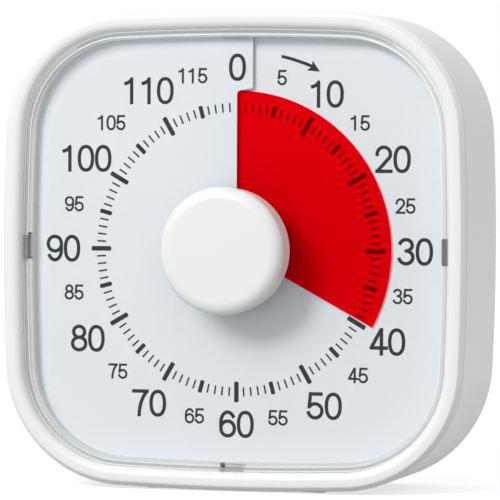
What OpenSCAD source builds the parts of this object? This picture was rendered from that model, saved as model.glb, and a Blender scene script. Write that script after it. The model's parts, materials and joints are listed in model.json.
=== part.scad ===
// Visual countdown timer for two hours, millimetres, +Z up, the dial facing -Y.
// The origin is on the resting surface, under the middle of the object with its knob.
// Every piece is drawn in the dial's own frame and then stood up by placed():
// x to the right, y up from the dial's centre, z towards the person who reads it.

/* [Case] */
// Width and height of the case at the middle of its sides
case_w = 190; // [180:1:205]
// Depth of the case without the knob
case_d = 60; // [56:1:70]
// Radius of the bulge along each side
side_r = 1050; // [900:10:1400]
// Radius of the rounded corners
corner_r = 49; // [46:1:54]
// Wall thickness of the rear case
wall = 2.2; // [1.8:0.1:2.6]
// Radius of the edge round the back
back_edge_r = 2.5; // [1.5:0.5:3]
// Width of the front frame's face, from the outline to its inner lip
frame_w = 7.8; // [7.4:0.1:8.2]
// How far the front frame stands forward of the seam round the sides
frame_h = 2.8; // [2.4:0.1:3.2]
// Height of the foot pads below the case
pad_proud = 0.4; // [0.3:0.1:1]

/* [Dial] */
// How far the dial lies behind the front of the case
dial_depth = 11.3; // [11:0.1:12]
// Thickness of the dial sheet
dial_t = 0.6; // [0.5:0.1:0.8]
// Radius of the red disc
disc_r = 62.9; // [58:0.1:64]
// Thickness of the red disc
disc_t = 0.4; // [0.3:0.1:0.5]
// Rise of the dial and of the disc in one turn, which leads the disc through the slit
rise = 2; // [1.8:0.1:2.2]
// How far the slit steps aside outside the disc, to pass the zero
slit_step = 6.5; // [6:0.1:8]
// Time set at rest, in degrees of knob turn (120 degrees are 40 minutes)
set_angle = 120; // [0:15:345]

/* [Lens] */
// Thickness of the clear cover
lens_t = 2; // [1.6:0.1:2.2]
// How far its front lies behind the front of the case
lens_depth = 3.3; // [3:0.1:3.6]
// Width of each snap tab
tab_w = 9.6; // [8:0.2:12]

/* [Knob] */
// Diameter of the knob
knob_d = 50.6; // [44:0.2:56]
// How far the knob's front stands in front of the dial
knob_reach = 24.5; // [22:0.5:28]
// Height of the knob's rim
knob_h = 14; // [12:0.5:16]
// Radius of the knob's front edge
knob_edge_r = 4.6; // [3:0.2:6]
// Radius of the spindle
spindle_r = 2.5; // [2.5:0.1:2.8]

/* [Movement] */
// Gear module
gear_m = 0.5; // [0.5]
// Teeth of the centre wheel
centre_teeth = 60; // [60]
// Teeth of the second wheel
second_teeth = 48; // [48]
// Teeth of the third wheel
third_teeth = 36; // [36]
// Teeth of every pinion
pinion_teeth = 12; // [12]
// Radial clearance of every shaft in its bore
running_gap = 0.06; // [0.03:0.01:0.09]

/* [Battery] */
// Diameter of the AA cell
cell_d = 14.5; // [13.5:0.1:14.5]
// Length of the AA cell without its nub
cell_l = 49; // [48:0.5:49.5]

/* [Hidden] */
$fn = 48;

// Outline: four side arcs, each round a centre far away on the other side, and four corner
// arcs that touch them. Every smaller outline is a parallel one with the same centres.
half_w = case_w / 2;
side_c = side_r - half_w;
corner_c = (sqrt(2 * pow(side_r - corner_r, 2) - side_c * side_c) - side_c) / 2;
side_a = atan2(corner_c, corner_c + side_c);
SIDE_STEPS = 4;
CORNER_STEPS = 12;

// Levels towards the reader, from the middle of the case's depth
front_z = case_d / 2;
back_z = -case_d / 2;
seam_z = front_z - frame_h;
seam_gap = 0.4;
seam_bevel = 0.4;
lip_z = front_z - 2.5;
lens_front_z = front_z - lens_depth;
lens_back_z = lens_front_z - lens_t;
ledge_z = lens_back_z - 1.5;
dial_z = front_z - dial_depth;
floor_front_z = dial_z - 5.5;
floor_t = 2;
floor_back_z = floor_front_z - floor_t;
wall_z = back_z + wall;
axis_h = half_w + pad_proud;
knob_front_z = dial_z + knob_reach;
middle_z = (knob_front_z + back_z) / 2;
knob_base_z = knob_front_z - knob_h;
stem_back_z = lens_back_z - 1.2;

// Insets of the front frame's inner edges from the outline
lens_inset = frame_w + 1.5;
window_inset = frame_w + 2.9;
tongue_gap = 0.15;
tongue_t = 1.9;
frame_t = 1.8;

// Helicoid: the dial sheet's middle and the disc's middle lie half a rise apart
sheet_z = dial_z - dial_t / 2;
dial_hole_r = 8.8;
hub_r = 8;
slit_w = 0.6;
slit_r = disc_r + 0.8;
SHEET_STEPS = 120;

// Movement, behind the dial's floor
plate_t = 2;
plate_z = floor_back_z - plate_t;
cover_floor_z = -11;
cover_t = 1.5;
case_x = 33;
case_top = 20;
case_bottom = -34;
cover_wall = 1.6;
tooth_add = 0.9 * gear_m;
tooth_ded = 1.15 * gear_m;
pitch_r = function(teeth) gear_m * teeth / 2;
centre_dist = pitch_r(centre_teeth) + pitch_r(pinion_teeth);
second_dist = pitch_r(second_teeth) + pitch_r(pinion_teeth);
third_dist = pitch_r(third_teeth) + pitch_r(pinion_teeth);
second_dir = 200;
third_dir = 300;
rotor_dir = -10;
second_at = centre_dist * [cos(second_dir), sin(second_dir)];
third_at = second_at + second_dist * [cos(third_dir), sin(third_dir)];
rotor_at = third_at + third_dist * [cos(rotor_dir), sin(rotor_dir)];
centre_wheel_z = 5.3;
second_wheel_z = 1;
third_wheel_z = -3;
rotor_pinion_z = -3.5;
wheel_t = 1.4;
thin_wheel_t = 1.1;
pivot_r = 0.8;
rotor_pivot_r = 0.6;
pivot_depth = 1.2;
pillars = [[-28, 15], [28, 15], [-28, -29], [28, -29]];
pillar_r = 2.6;
stator_z = -5.8;
stator_t = 1;
coil_x = 20;
coil_y = -21;

// Battery bay in the back, with its door
bay_y = -53;
bay_w = 60;
bay_h = 20;
bay_floor_z = -11;
bay_wall = 1.6;
cell_z = -19.5;
blade_x = bay_w / 2 - 0.4;
door_w = 66;
door_h = 24;
door_t = 1.8;
door_gap = 0.35;
hinge_y = bay_y - door_h / 2 + door_t / 2;
hinge_z = back_z + door_t / 2;
hinge_r = 0.6;
frame_z = back_z + 3.8;

// Screws, holes and electrics in the back
screw_at = 66;
post_r = 5.5;
boss_r = 4.5;
joint_z = -8;
screw_seat_z = -12;
hanger_y = 60;
hanger_head_r = 4.5;
hanger_slot_r = 2.2;
sounder_at = [-52, 8];
sounder_r = 13.5;
switch_at = [46, -8];
switch_travel = 3;
board_at = [55, 29];
board_size = [38, 30];
board_z = -16;
board_t = 1.2;
pad_x = 32;
pad_w = 9;
pad_l = 40;

// Routes of the battery leads, from the solder tags under the movement and up to the board
lead_r = 0.7;
red_route = [
    [29.6, -53, -5.3], [34, -48, -3], [39, -36, -6], [46, -18, -11], [50, 0, -12.6],
    [50, 17, -14.1]
];
black_route = [
    [-29.6, -53, -5.3], [-24, -49, -3], [-10, -40, -4], [12, -38.5, -5], [32, -38, -8],
    [41, -20, -11], [46, 0, -12.4], [46, 17, -14.1]
];

// ---- Shared shapes ----

module placed() {
    translate([0, middle_z, axis_h]) rotate([90, 0, 0]) children();
}

module slab(z0, z1) {
    translate([0, 0, z0]) linear_extrude(height = z1 - z0) children();
}

module rod(r, z0, z1) {
    translate([0, 0, z0]) cylinder(r = r, h = z1 - z0);
}

module rounded_rect(w, h, r) {
    square([w - 2 * r, h], center = true);
    square([w, h - 2 * r], center = true);
    for (x = [-1, 1], y = [-1, 1])
        translate([x * (w / 2 - r), y * (h / 2 - r)]) circle(r = r);
}

module box_between(low, high) {
    translate(low) cube(high - low);
}

module at_corners() {
    for (x = [-screw_at, screw_at], y = [-screw_at, screw_at]) translate([x, y]) children();
}

// Points of the case's outline drawn in by inset, anticlockwise from the right-hand side's middle:
// the side arcs and the corner arcs take turns
function outline_points(inset = 0) = [
    for (q = [0:3]) let(c = cos(90 * q), s = sin(90 * q)) each [
        for (p = concat(
            arc_points([-side_c, 0], side_r - inset, side_r - inset,
                       -side_a, side_a * (1 - 2 / SIDE_STEPS), SIDE_STEPS - 1),
            arc_points([corner_c, corner_c], corner_r - inset, corner_r - inset,
                       side_a, 90 - side_a - (90 - 2 * side_a) / CORNER_STEPS, CORNER_STEPS - 1)
        )) [c * p[0] - s * p[1], s * p[0] + c * p[1]]
    ]
];

module outline(inset = 0) {
    polygon(outline_points(inset));
}

// Quads between rings of n points each, from ring to ring
function skin_faces(rings, n, closed) =
    [for (j = [0:rings - (closed ? 1 : 2)], i = [0:n - 1])
        let(i1 = (i + 1) % n, j1 = (j + 1) % rings)
        [j * n + i, j1 * n + i, j1 * n + i1, j * n + i1]];

// A ring round the outline whose section is a list of [inset, z] points: up the outside,
// over the front and down the inside
module swept(section) {
    n = len(outline_points());
    points = [for (s = section, p = outline_points(s[0])) [p[0], p[1], s[1]]];
    polyhedron(points = points, faces = skin_faces(len(section), n, true), convexity = 6);
}

// A solid whose edge follows a list of [inset, z] points from the back to the front
module lofted(section) {
    n = len(outline_points());
    m = len(section);
    points = [for (s = section, p = outline_points(s[0])) [p[0], p[1], s[1]]];
    caps = [[for (i = [0:n - 1]) i], [for (i = [0:n - 1]) m * n - 1 - i]];
    polyhedron(points = points, faces = concat(skin_faces(m, n, false), caps), convexity = 4);
}

// Points of an elliptic arc round c with half axes a and b, from angle t0 to t1
function arc_points(c, a, b, t0, t1, steps) =
    [for (i = [0:steps]) let(t = t0 + (t1 - t0) * i / steps) c + [a * cos(t), b * sin(t)]];

// Distance from the middle to the outline drawn in by inset, at clock angle phi
function outline_reach(phi, inset) =
    let(
        turned = (phi % 90 + 90) % 90,
        fold = min(turned, 90 - turned),
        side_x = side_r - inset,
        touch = [-side_c + side_x * cos(side_a), side_x * sin(side_a)],
        along = corner_c * (cos(fold) + sin(fold)),
        round_r = corner_r - inset
    )
    fold < atan2(touch[1], touch[0])
        ? sqrt(side_x * side_x - pow(side_c * sin(fold), 2)) - side_c * cos(fold)
        : along + sqrt(round_r * round_r - 2 * corner_c * corner_c + along * along);

// A sheet of thickness t through rows of points: a closed solid with a rim
module sheet(rows, t) {
    n = len(rows[0]);
    m = len(rows);
    flat = [for (row = rows, p = row) p];
    lift = [0, 0, t / 2];
    points = concat([for (p = flat) p + lift], [for (p = flat) p - lift]);
    low = n * m;
    at = function(j, i) j * n + i;
    faces = concat(
        [for (j = [0:m - 2], i = [0:n - 2])
            [at(j, i), at(j, i + 1), at(j + 1, i + 1), at(j + 1, i)]],
        [for (j = [0:m - 2], i = [0:n - 2])
            [low + at(j, i), low + at(j + 1, i), low + at(j + 1, i + 1), low + at(j, i + 1)]],
        [for (i = [0:n - 2]) [at(0, i + 1), at(0, i), low + at(0, i), low + at(0, i + 1)]],
        [for (i = [0:n - 2])
            [at(m - 1, i), at(m - 1, i + 1), low + at(m - 1, i + 1), low + at(m - 1, i)]],
        [for (j = [0:m - 2]) [at(j, 0), at(j + 1, 0), low + at(j + 1, 0), low + at(j, 0)]],
        [for (j = [0:m - 2])
            [at(j + 1, n - 1), at(j, n - 1), low + at(j, n - 1), low + at(j + 1, n - 1)]]
    );
    polyhedron(points = points, faces = faces, convexity = 4);
}

// A point of a helicoid: clock angle phi is 0 at the top and grows clockwise
function clock_point(r, phi, z) = [r * sin(phi), r * cos(phi), z + rise * phi / 360];

// A round wire through a list of points
module wire(path, r, sides = 8) {
    n = len(path);
    heading = function(i)
        let(d = path[min(i + 1, n - 1)] - path[max(i - 1, 0)]) d / norm(d);
    // The reference direction is any one that the path never runs along
    ring = function(i)
        let(h = heading(i), u0 = cross(h, [0.31, 0.27, 0.91]), u = u0 / norm(u0), v = cross(h, u))
        [for (k = [0:sides - 1]) let(t = 360 * k / sides) path[i] + r * (u * cos(t) + v * sin(t))];
    points = [for (i = [0:n - 1]) each ring(i)];
    faces = concat(
        [[for (k = [0:sides - 1]) k]],
        [for (i = [0:n - 2], k = [0:sides - 1])
            let(k1 = (k + 1) % sides)
            [i * sides + k1, i * sides + k, (i + 1) * sides + k, (i + 1) * sides + k1]],
        [[for (k = [0:sides - 1]) n * sides - 1 - k]]
    );
    polyhedron(points = points, faces = faces, convexity = 6);
}

// Spur gear outline with straight flanks and a tooth centred on the x axis
function gear_points(teeth) =
    let(
        r = pitch_r(teeth),
        step = 360 / teeth,
        tooth = [
            [r - tooth_ded, -0.27], [r, -0.21], [r + tooth_add, -0.1],
            [r + tooth_add, 0.1], [r, 0.21], [r - tooth_ded, 0.27]
        ]
    )
    [for (i = [0:teeth - 1], p = tooth) let(a = (i + p[1]) * step) p[0] * [cos(a), sin(a)]];

module gear(teeth, z0, thick, phase = 0) {
    slab(z0, z0 + thick) rotate(phase) polygon(gear_points(teeth));
}

// A spindle section with one flat
module d_section(r, flat) {
    intersection() {
        circle(r = r);
        translate([flat - 4 * r, -2 * r]) square([4 * r, 4 * r]);
    }
}

// ---- Front ----

// Section of the front frame: rounded face, lens ledge, inner wall and tongue
frame_section = concat(
    [[seam_bevel, seam_z], [0, seam_z + seam_bevel]],
    arc_points([2.4, seam_z + seam_bevel], 2.4, frame_h - seam_bevel - 0.2, 165, 90, 5),
    [[3.9, front_z]],
    arc_points([5.3, lip_z], frame_w - 5.3, front_z - lip_z - 0.2, 90, 0, 6),
    [
        [frame_w, ledge_z],
        [window_inset, ledge_z],
        [window_inset, floor_back_z],
        [window_inset - 2, floor_back_z],
        [window_inset - 2, ledge_z - 2],
        [frame_w - frame_t, ledge_z - 2],
        [frame_w - frame_t, lip_z - 0.1],
        [wall + tongue_gap + tongue_t, lip_z - 0.1],
        [wall + tongue_gap + tongue_t, ledge_z - 1],
        [wall + tongue_gap, ledge_z - 1],
        [wall + tongue_gap, seam_z]
    ]
);

// Places of the lens's snap tabs: turn round the dial, and shift along the side
tab_places = [[0, 0], [90, 0], [180, 1], [270, 0]];

module at_tabs() {
    for (p = tab_places) rotate(p[0]) translate([half_w, -p[1], 0]) children();
}

module front_bezel() {
    color("white") difference() {
        union() {
            swept(frame_section);
            slab(floor_back_z, floor_front_z) outline(window_inset - 1);
            for (i = [0:11]) dial_post(72, 15 + 30 * i);
            for (i = [0:3]) dial_post(94, 45 + 90 * i);
            at_corners() rod(boss_r, joint_z, floor_front_z - 1);
        }
        rod(spindle_r + 2.6, floor_back_z - 1, floor_front_z + 1);
        at_corners() rod(1.25, joint_z - 1, floor_back_z - 1);
        at_tabs() box_between([-window_inset - 1, -tab_w / 2 - 0.4, 18.5],
                              [-frame_w - 0.4, tab_w / 2 + 0.4, ledge_z + 1]);
    }
}

// A post that carries the dial sheet, as high as the sheet is there
module dial_post(r, phi) {
    top = clock_point(r, phi, sheet_z - rise / 2 - dial_t / 2 - 0.02);
    translate([top[0], top[1]]) rod(2, floor_front_z - 1, top[2]);
}

module lens_cover() {
    rim_t = 1.2;
    bevel = 1.3;
    color([0.92, 0.96, 0.98, 0.3]) difference() {
        union() {
            swept([
                [lens_inset, ledge_z], [lens_inset, lens_front_z - 0.8],
                [lens_inset + bevel, lens_front_z], [lens_inset + 5, lens_front_z],
                [lens_inset + 5, lens_back_z], [lens_inset + rim_t, lens_back_z],
                [lens_inset + rim_t, ledge_z]
            ]);
            slab(lens_back_z, lens_front_z) outline(lens_inset + 4);
            at_tabs() {
                box_between([-lens_inset - rim_t, -tab_w / 2, 19.5],
                            [-lens_inset, tab_w / 2, lens_back_z + 0.5]);
                box_between([-lens_inset - rim_t, -tab_w / 2, 19.5],
                            [-lens_inset + 0.8, tab_w / 2, 20.6]);
            }
        }
        rod(7.1, lens_back_z - 1, lens_front_z + 1);
    }
}

// The sheet's slit runs straight out from the middle, and steps aside outside the disc
module dial_plate() {
    inset = window_inset + 0.3;
    edge_y = half_w - inset;
    side = slit_w / 2;
    // Clock angles of the slit's two sides on a row of radius r
    near = function(r, x) asin((x + side) / r);
    far = function(r, x) 360 + asin((x - side) / r);
    angle = function(r, x, i) near(r, x) + (far(r, x) - near(r, x)) * i / SHEET_STEPS;
    row = function(r, x)
        [for (i = [0:SHEET_STEPS]) clock_point(r, angle(r, x, i), sheet_z - rise / 2)];
    edge_row = [for (i = [0:SHEET_STEPS]) let(phi = angle(edge_y, slit_step, i))
        clock_point(outline_reach(phi, inset), phi, sheet_z - rise / 2)];
    color("whitesmoke")
        sheet([row(dial_hole_r, 0), row(slit_r, 0), row(slit_r + 0.6, slit_step), edge_row], dial_t);
}

// ---- Rear case ----

module rear_case() {
    rim_z = seam_z - seam_gap;
    edge = concat(
        arc_points([back_edge_r, back_z + back_edge_r], back_edge_r, back_edge_r, 270, 180, 5),
        [[0, rim_z - seam_bevel], [seam_bevel, rim_z]]
    );
    color("white") difference() {
        union() {
            difference() {
                lofted(edge);
                slab(wall_z, rim_z + 1) outline(wall);
            }
            bay_outside();
            at_corners() rod(post_r, wall_z - 1, joint_z - 0.1);
            translate(sounder_at) difference() {
                rod(sounder_r + 2, wall_z - 1, wall_z + 3.5);
                rod(sounder_r + 0.2, wall_z, wall_z + 4);
            }
            at_board_posts() rod(2.6, wall_z - 1, board_z);
            translate(switch_at) for (x = [-8.6, 8.6])
                box_between([x - 0.8, -3.5, wall_z - 1], [x + 0.8, 3.5, wall_z + 6]);
        }
        bay_inside();
        at_corners() {
            rod(3.6, back_z - 1, screw_seat_z);
            rod(1.7, screw_seat_z - 1, joint_z + 1);
        }
        hanger();
        sound_holes();
        at_board_posts() rod(0.9, wall_z + 2, board_z + 1);
        translate(switch_at) {
            slab(back_z - 1, back_z + 1.2) rounded_rect(17, 10, 3);
            slab(back_z - 1, wall_z + 1) rounded_rect(2 * switch_travel + 5, 5, 1);
        }
    }
}

module bay_outside() {
    translate([0, bay_y]) {
        slab(back_z + 0.5, frame_z) rounded_rect(door_w + 7, door_h + 5, 3);
        slab(frame_z - 1, bay_floor_z + bay_wall)
            rounded_rect(bay_w + 2 * bay_wall, bay_h + 2 * bay_wall, 2);
    }
}

module bay_inside() {
    translate([0, bay_y]) {
        slab(back_z - 1, back_z + door_t + 0.1) {
            rounded_rect(door_w + 2 * door_gap, door_h + 2 * door_gap, 2);
            translate([-door_w / 2 - door_gap, -door_h / 2 - door_gap])
                square([door_w + 2 * door_gap, 5]);
        }
        slab(back_z, bay_floor_z) rounded_rect(bay_w, bay_h, 1);
        // The notch that the door's latch snaps under
        box_between([-5, bay_h / 2 - 1, back_z + door_t - 0.5], [5, bay_h / 2 + 1.8, frame_z - 0.6]);
        // Slots for the contacts' solder tags
        for (x = [-1, 1]) translate([x * blade_x, 0])
            box_between([-0.8, -2.2, bay_floor_z - 1], [0.8, 2.2, bay_floor_z + bay_wall + 1]);
    }
    translate([0, hinge_y, hinge_z]) rotate([0, 90, 0])
        cylinder(r = hinge_r + running_gap, h = door_w + 5, center = true);
}

module hanger() {
    translate([0, hanger_y, 0]) {
        translate([0, -4]) rod(hanger_head_r, back_z - 1, wall_z + 1);
        slab(back_z - 1, wall_z + 1) {
            translate([-hanger_slot_r, -4]) square([2 * hanger_slot_r, 8]);
            translate([0, 4]) circle(r = hanger_slot_r);
        }
    }
}

module sound_holes() {
    translate(sounder_at) {
        rod(1.1, back_z - 1, wall_z + 1);
        for (ring = [1:2], i = [0:6 * ring - 1])
            rotate(60 * i / ring) translate([4.2 * ring, 0]) rod(1.1, back_z - 1, wall_z + 1);
    }
}

module at_board_posts() {
    for (s = [-1, 1]) translate(board_at + s * (board_size / 2 - [4, 4])) children();
}

module foot_pad(side) {
    color("gainsboro") difference() {
        box_between([side * pad_x - pad_w / 2, -axis_h, -pad_l / 2],
                    [side * pad_x + pad_w / 2, -half_w + 1.5, pad_l / 2]);
        slab(-pad_l, pad_l) outline();
    }
}

module case_screws() {
    color("silver") at_corners() cross_screw(2.8, 2, 1.2, screw_seat_z, 15);
}

// A round-headed screw whose head lies under seat_z and whose shank points forwards
module cross_screw(head_r, head_h, shank_r, seat_z, length) {
    difference() {
        union() {
            rod(head_r, seat_z - head_h, seat_z);
            rod(shank_r, seat_z - 0.1, seat_z + length);
        }
        for (a = [0, 90]) rotate(a)
            box_between([-head_r * 0.6, -0.3, seat_z - head_h - 1],
                        [head_r * 0.6, 0.3, seat_z - head_h * 0.4]);
    }
}

// ---- Movement ----

module movement_plan(inset = 0) {
    translate([0, (case_top + case_bottom) / 2])
        rounded_rect(2 * (case_x - inset), case_top - case_bottom - 2 * inset, 5 - inset);
}

module movement_front_plate() {
    color("dimgray") difference() {
        union() {
            slab(plate_z, floor_back_z) movement_plan();
            for (p = pillars) translate(p) rod(pillar_r, cover_floor_z, plate_z + 0.1);
        }
        rod(5.02, plate_z - 1, floor_back_z + 1);
        for (p = [second_at, third_at])
            translate(p) rod(pivot_r + running_gap, plate_z - 1, plate_z + pivot_depth);
        translate(rotor_at) rod(rotor_pivot_r + running_gap, plate_z - 1, plate_z + pivot_depth);
        for (p = pillars) translate(p) rod(1, cover_floor_z - 1, cover_floor_z + 9);
    }
}

module movement_rear_cover() {
    outer_z = cover_floor_z - cover_t;
    color("dimgray") difference() {
        union() {
            difference() {
                slab(outer_z, plate_z) movement_plan();
                slab(cover_floor_z, plate_z + 1) movement_plan(cover_wall);
            }
            rod(5, cover_floor_z - 0.5, cover_floor_z + 1);
        }
        rod(spindle_r + running_gap, outer_z - 1, cover_floor_z + 2);
        for (p = [second_at, third_at])
            translate(p) rod(pivot_r + running_gap, cover_floor_z - pivot_depth, cover_floor_z + 1);
        translate(rotor_at)
            rod(rotor_pivot_r + running_gap, cover_floor_z - pivot_depth, cover_floor_z + 1);
        for (p = pillars) translate(p) rod(1.2, outer_z - 1, cover_floor_z + 1);
    }
}

module movement_screws() {
    color("silver") for (p = pillars) translate(p)
        cross_screw(2.1, 1.4, 0.95, cover_floor_z - cover_t, 8);
}

module spindle_bush() {
    color("goldenrod") difference() {
        union() {
            rod(5, plate_z, floor_front_z + 2);
            rod(7, plate_z - 0.8, plate_z);
        }
        rod(spindle_r + running_gap, plate_z - 2, floor_front_z + 3);
    }
}

module bush_nut() {
    color("goldenrod") difference() {
        translate([0, 0, floor_front_z]) cylinder(r = 8, h = 1.9, $fn = 6);
        rod(5.02, floor_front_z - 1, floor_front_z + 3);
    }
}

module stator() {
    color("silver") slab(stator_z, stator_z + stator_t) difference() {
        translate([rotor_at[0] - 5, coil_y - 10]) square([coil_x + 2.5 - rotor_at[0] + 5, 20]);
        translate([rotor_at[0] + 5, coil_y - 7]) square([coil_x - 2.5 - rotor_at[0] - 5, 14]);
        translate(rotor_at) circle(r = 3.7);
    }
}

module coil_bobbin() {
    core_z = stator_z + stator_t / 2;
    color("ivory") translate([coil_x, coil_y, core_z]) rotate([90, 0, 0]) difference() {
        union() {
            slab(-6.4, 6.4) square([6.2, 2.2], center = true);
            for (z = [-6.4, 5.6]) slab(z, z + 0.8) square([10, 9.6], center = true);
        }
        slab(-7, 7) square([5.1, stator_t + 0.1], center = true);
    }
}

module coil_winding() {
    core_z = stator_z + stator_t / 2;
    color("sienna") translate([coil_x, coil_y, core_z]) rotate([90, 0, 0]) difference() {
        slab(-5.6, 5.6) rounded_rect(9, 8.4, 2.5);
        slab(-6, 6) square([6.24, 2.24], center = true);
    }
}

module alarm_contacts() {
    color("gold") {
        box_between([20, 5, -3], [24, 12, 2]);
        for (i = [0, 1])
            box_between([6.4 - 2 * i, 7 + 2.4 * i, -0.9], [20.1, 7.35 + 2.4 * i, 0.1]);
    }
}

// ---- Electrics in the rear case ----

module circuit_board() {
    color("green") difference() {
        translate(board_at) slab(board_z, board_z + board_t) square(board_size, center = true);
        at_board_posts() rod(1.2, board_z - 1, board_z + board_t + 1);
    }
}

module controller_chip() {
    color("black") translate(board_at + [-4, 2]) {
        slab(board_z + board_t, board_z + board_t + 1.6) square([10, 6], center = true);
        for (x = [-4:2:4], y = [-1, 1]) translate([x, y * 3.6])
            box_between([-0.2, -0.7, board_z + board_t], [0.2, 0.7, board_z + board_t + 0.5]);
    }
}

module quartz_crystal() {
    color("silver") translate([board_at[0] + 8, board_at[1] + 2, board_z + board_t + 1.05])
        rotate([90, 0, 0]) cylinder(r = 1.05, h = 6, center = true);
}

module board_screws() {
    color("silver") at_board_posts()
        mirror([0, 0, 1]) cross_screw(2, 1.3, 0.85, -board_z - board_t, 8);
}

module piezo_sounder() {
    color("goldenrod") translate(sounder_at) {
        rod(sounder_r, wall_z + 1.6, wall_z + 2);
        rod(sounder_r - 4, wall_z + 2, wall_z + 2.3);
    }
    color("goldenrod") translate(sounder_at) difference() {
        rod(sounder_r, wall_z, wall_z + 1.6);
        rod(sounder_r - 1.5, wall_z - 1, wall_z + 2);
    }
}

module switch_body() {
    color("silver") translate(switch_at) difference() {
        slab(wall_z + 1.2, wall_z + 6) square([15.4, 6.4], center = true);
        slab(wall_z + 1, wall_z + 2.6) square([2 * switch_travel + 4, 3], center = true);
    }
}

module battery_cell() {
    color("dimgray") translate([0, bay_y, cell_z]) rotate([0, 90, 0]) {
        cylinder(d = cell_d, h = cell_l, center = true);
        rod(2.7, cell_l / 2 - 0.5, cell_l / 2 + 1.5);
    }
}

module contact_blade(side) {
    translate([side * blade_x, bay_y, 0]) {
        box_between([-0.3, -6, cell_z - 6], [0.3, 6, cell_z + 6]);
        box_between([-0.3, -1.8, cell_z + 5], [0.3, 1.8, -6]);
    }
}

// The spring's wire winds from the blade towards the cell's flat end
module contact_spring() {
    turns = 3.5;
    steps = 56;
    wire_r = 0.35;
    x0 = -bay_w / 2 + 1;
    length = bay_w / 2 - cell_l / 2 - 1 - wire_r;
    path = [for (i = [0:steps]) let(f = i / steps, r = 5.2 - 2 * f, a = 360 * turns * f)
        [x0 + length * f, bay_y + r * cos(a), cell_z + r * sin(a)]];
    color("silver") {
        contact_blade(-1);
        wire(path, wire_r, 6);
    }
}

module contact_plate() {
    color("silver") {
        contact_blade(1);
        translate([0, bay_y, cell_z]) rotate([0, 90, 0]) rod(3, cell_l / 2 + 1.55, bay_w / 2 - 0.6);
    }
}

// A smooth line through the points of a lead's route
function smooth(route, steps) =
    let(
        n = len(route),
        p = function(i) i < 0 ? 2 * route[0] - route[1]
            : i >= n ? 2 * route[n - 1] - route[n - 2] : route[i],
        at = function(a, b, c, d, t)
            (2 * b + (c - a) * t + (2 * a - 5 * b + 4 * c - d) * t * t
                + (3 * b - 3 * c + d - a) * t * t * t) / 2
    )
    concat(
        [for (i = [0:n - 2], k = [0:steps - 1])
            at(p(i - 1), p(i), p(i + 1), p(i + 2), k / steps)],
        [route[n - 1]]
    );

module battery_lead_red() {
    color("red") wire(smooth(red_route, 6), lead_r);
}

module battery_lead_black() {
    color("black") wire(smooth(black_route, 6), lead_r);
}

// ---- Knob and spindle ----

module knob() {
    r = knob_d / 2;
    skin = 2.6;
    crown = 0.25;
    shoulder_z = knob_front_z - crown - knob_edge_r;
    outside = concat(
        [[r - 0.5, knob_base_z], [r, knob_base_z + 0.5]],
        arc_points([r - knob_edge_r - 0.2, shoulder_z], knob_edge_r, knob_edge_r, 0, 90, 10),
        [[r / 3, knob_front_z - crown * 0.2], [0, knob_front_z]]
    );
    inside = [
        [0, stem_back_z], [6.4, stem_back_z], [6.4, knob_front_z - skin - crown],
        [r - knob_edge_r, knob_front_z - skin - crown], [r - skin, shoulder_z],
        [r - skin, knob_base_z]
    ];
    color("whitesmoke") difference() {
        rotate_extrude($fn = 96) polygon(concat(inside, outside));
        slab(stem_back_z - 1, knob_front_z - 5) d_section(spindle_r + 0.02, 2.02);
    }
}

module spindle() {
    clip_z = centre_wheel_z - 2;
    color("silver") difference() {
        union() {
            rod(spindle_r, cover_floor_z - 1, knob_front_z - 5.2);
            rod(4.5, plate_z - 2, plate_z - 1.2);
        }
        box_between([2, -5, floor_front_z + 2.2], [6, 5, knob_front_z]);
        difference() {
            rod(4, clip_z, clip_z + 0.8);
            rod(2, clip_z - 1, clip_z + 2);
        }
    }
}

module clutch_spring() {
    z = centre_wheel_z - 1;
    color("gold") slab(z, z + 0.4) difference() {
        union() {
            circle(r = 4.2);
            for (i = [0:2]) rotate(120 * i) {
                translate([0, -1]) square([7, 2]);
                translate([7, 0]) circle(r = 1.4);
            }
        }
        circle(r = spindle_r + 0.02);
    }
}

module retaining_clip() {
    z = centre_wheel_z - 2 + 0.05;
    color("silver") slab(z, z + 0.7) difference() {
        circle(r = 4.3);
        circle(r = 2.02);
        translate([0, -1.6]) square([6, 3.2]);
    }
}

module alarm_cam() {
    color("ivory") slab(-1.2, 0.4) difference() {
        circle(r = 6);
        circle(r = spindle_r + 0.02);
        rotate(90 - set_angle) translate([6.6, 0]) circle(r = 1.6);
    }
}

// ---- Red disc ----

// One whole turn of a sheet that climbs with the dial, from behind it to in front of it
module red_disc() {
    row = function(r)
        [for (i = [0:SHEET_STEPS])
            clock_point(r, set_angle - 0.4 - 359.2 * (1 - i / SHEET_STEPS), sheet_z)];
    color([0.85, 0.02, 0.02, 0.85]) sheet([row(hub_r + 0.01), row(disc_r)], disc_t);
}

module disc_hub() {
    z0 = sheet_z - rise * (360 - set_angle) / 360 - 0.9;
    color("whitesmoke") slab(z0, z0 + 3.7) difference() {
        circle(r = hub_r);
        d_section(spindle_r + 0.05, 2.05);
    }
}

// ---- Wheels ----

module centre_wheel() {
    color("ivory") difference() {
        gear(centre_teeth, centre_wheel_z, wheel_t, second_dir);
        rod(spindle_r + running_gap, 0, 10);
        for (i = [0:4]) rotate(72 * i) translate([9, 0]) rod(2.4, 0, 10);
    }
}

// A wheel and its pinion on one arbor that turns in the plates
module train_wheel(teeth, wheel_z, wheel_phase, pinion_z, pinion_thick, pinion_phase) {
    color("ivory") {
        gear(teeth, wheel_z, thin_wheel_t, wheel_phase);
        gear(pinion_teeth, pinion_z, pinion_thick, pinion_phase);
        rod(1.6, wheel_z, pinion_z + pinion_thick);
        rod(pivot_r, cover_floor_z - pivot_depth + 0.3, plate_z + pivot_depth - 0.3);
    }
}

half_tooth = 180 / pinion_teeth;

module second_wheel() {
    translate(second_at)
        train_wheel(second_teeth, second_wheel_z, third_dir,
                    centre_wheel_z - 0.4, wheel_t + 0.8, second_dir + 180 + half_tooth);
}

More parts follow.
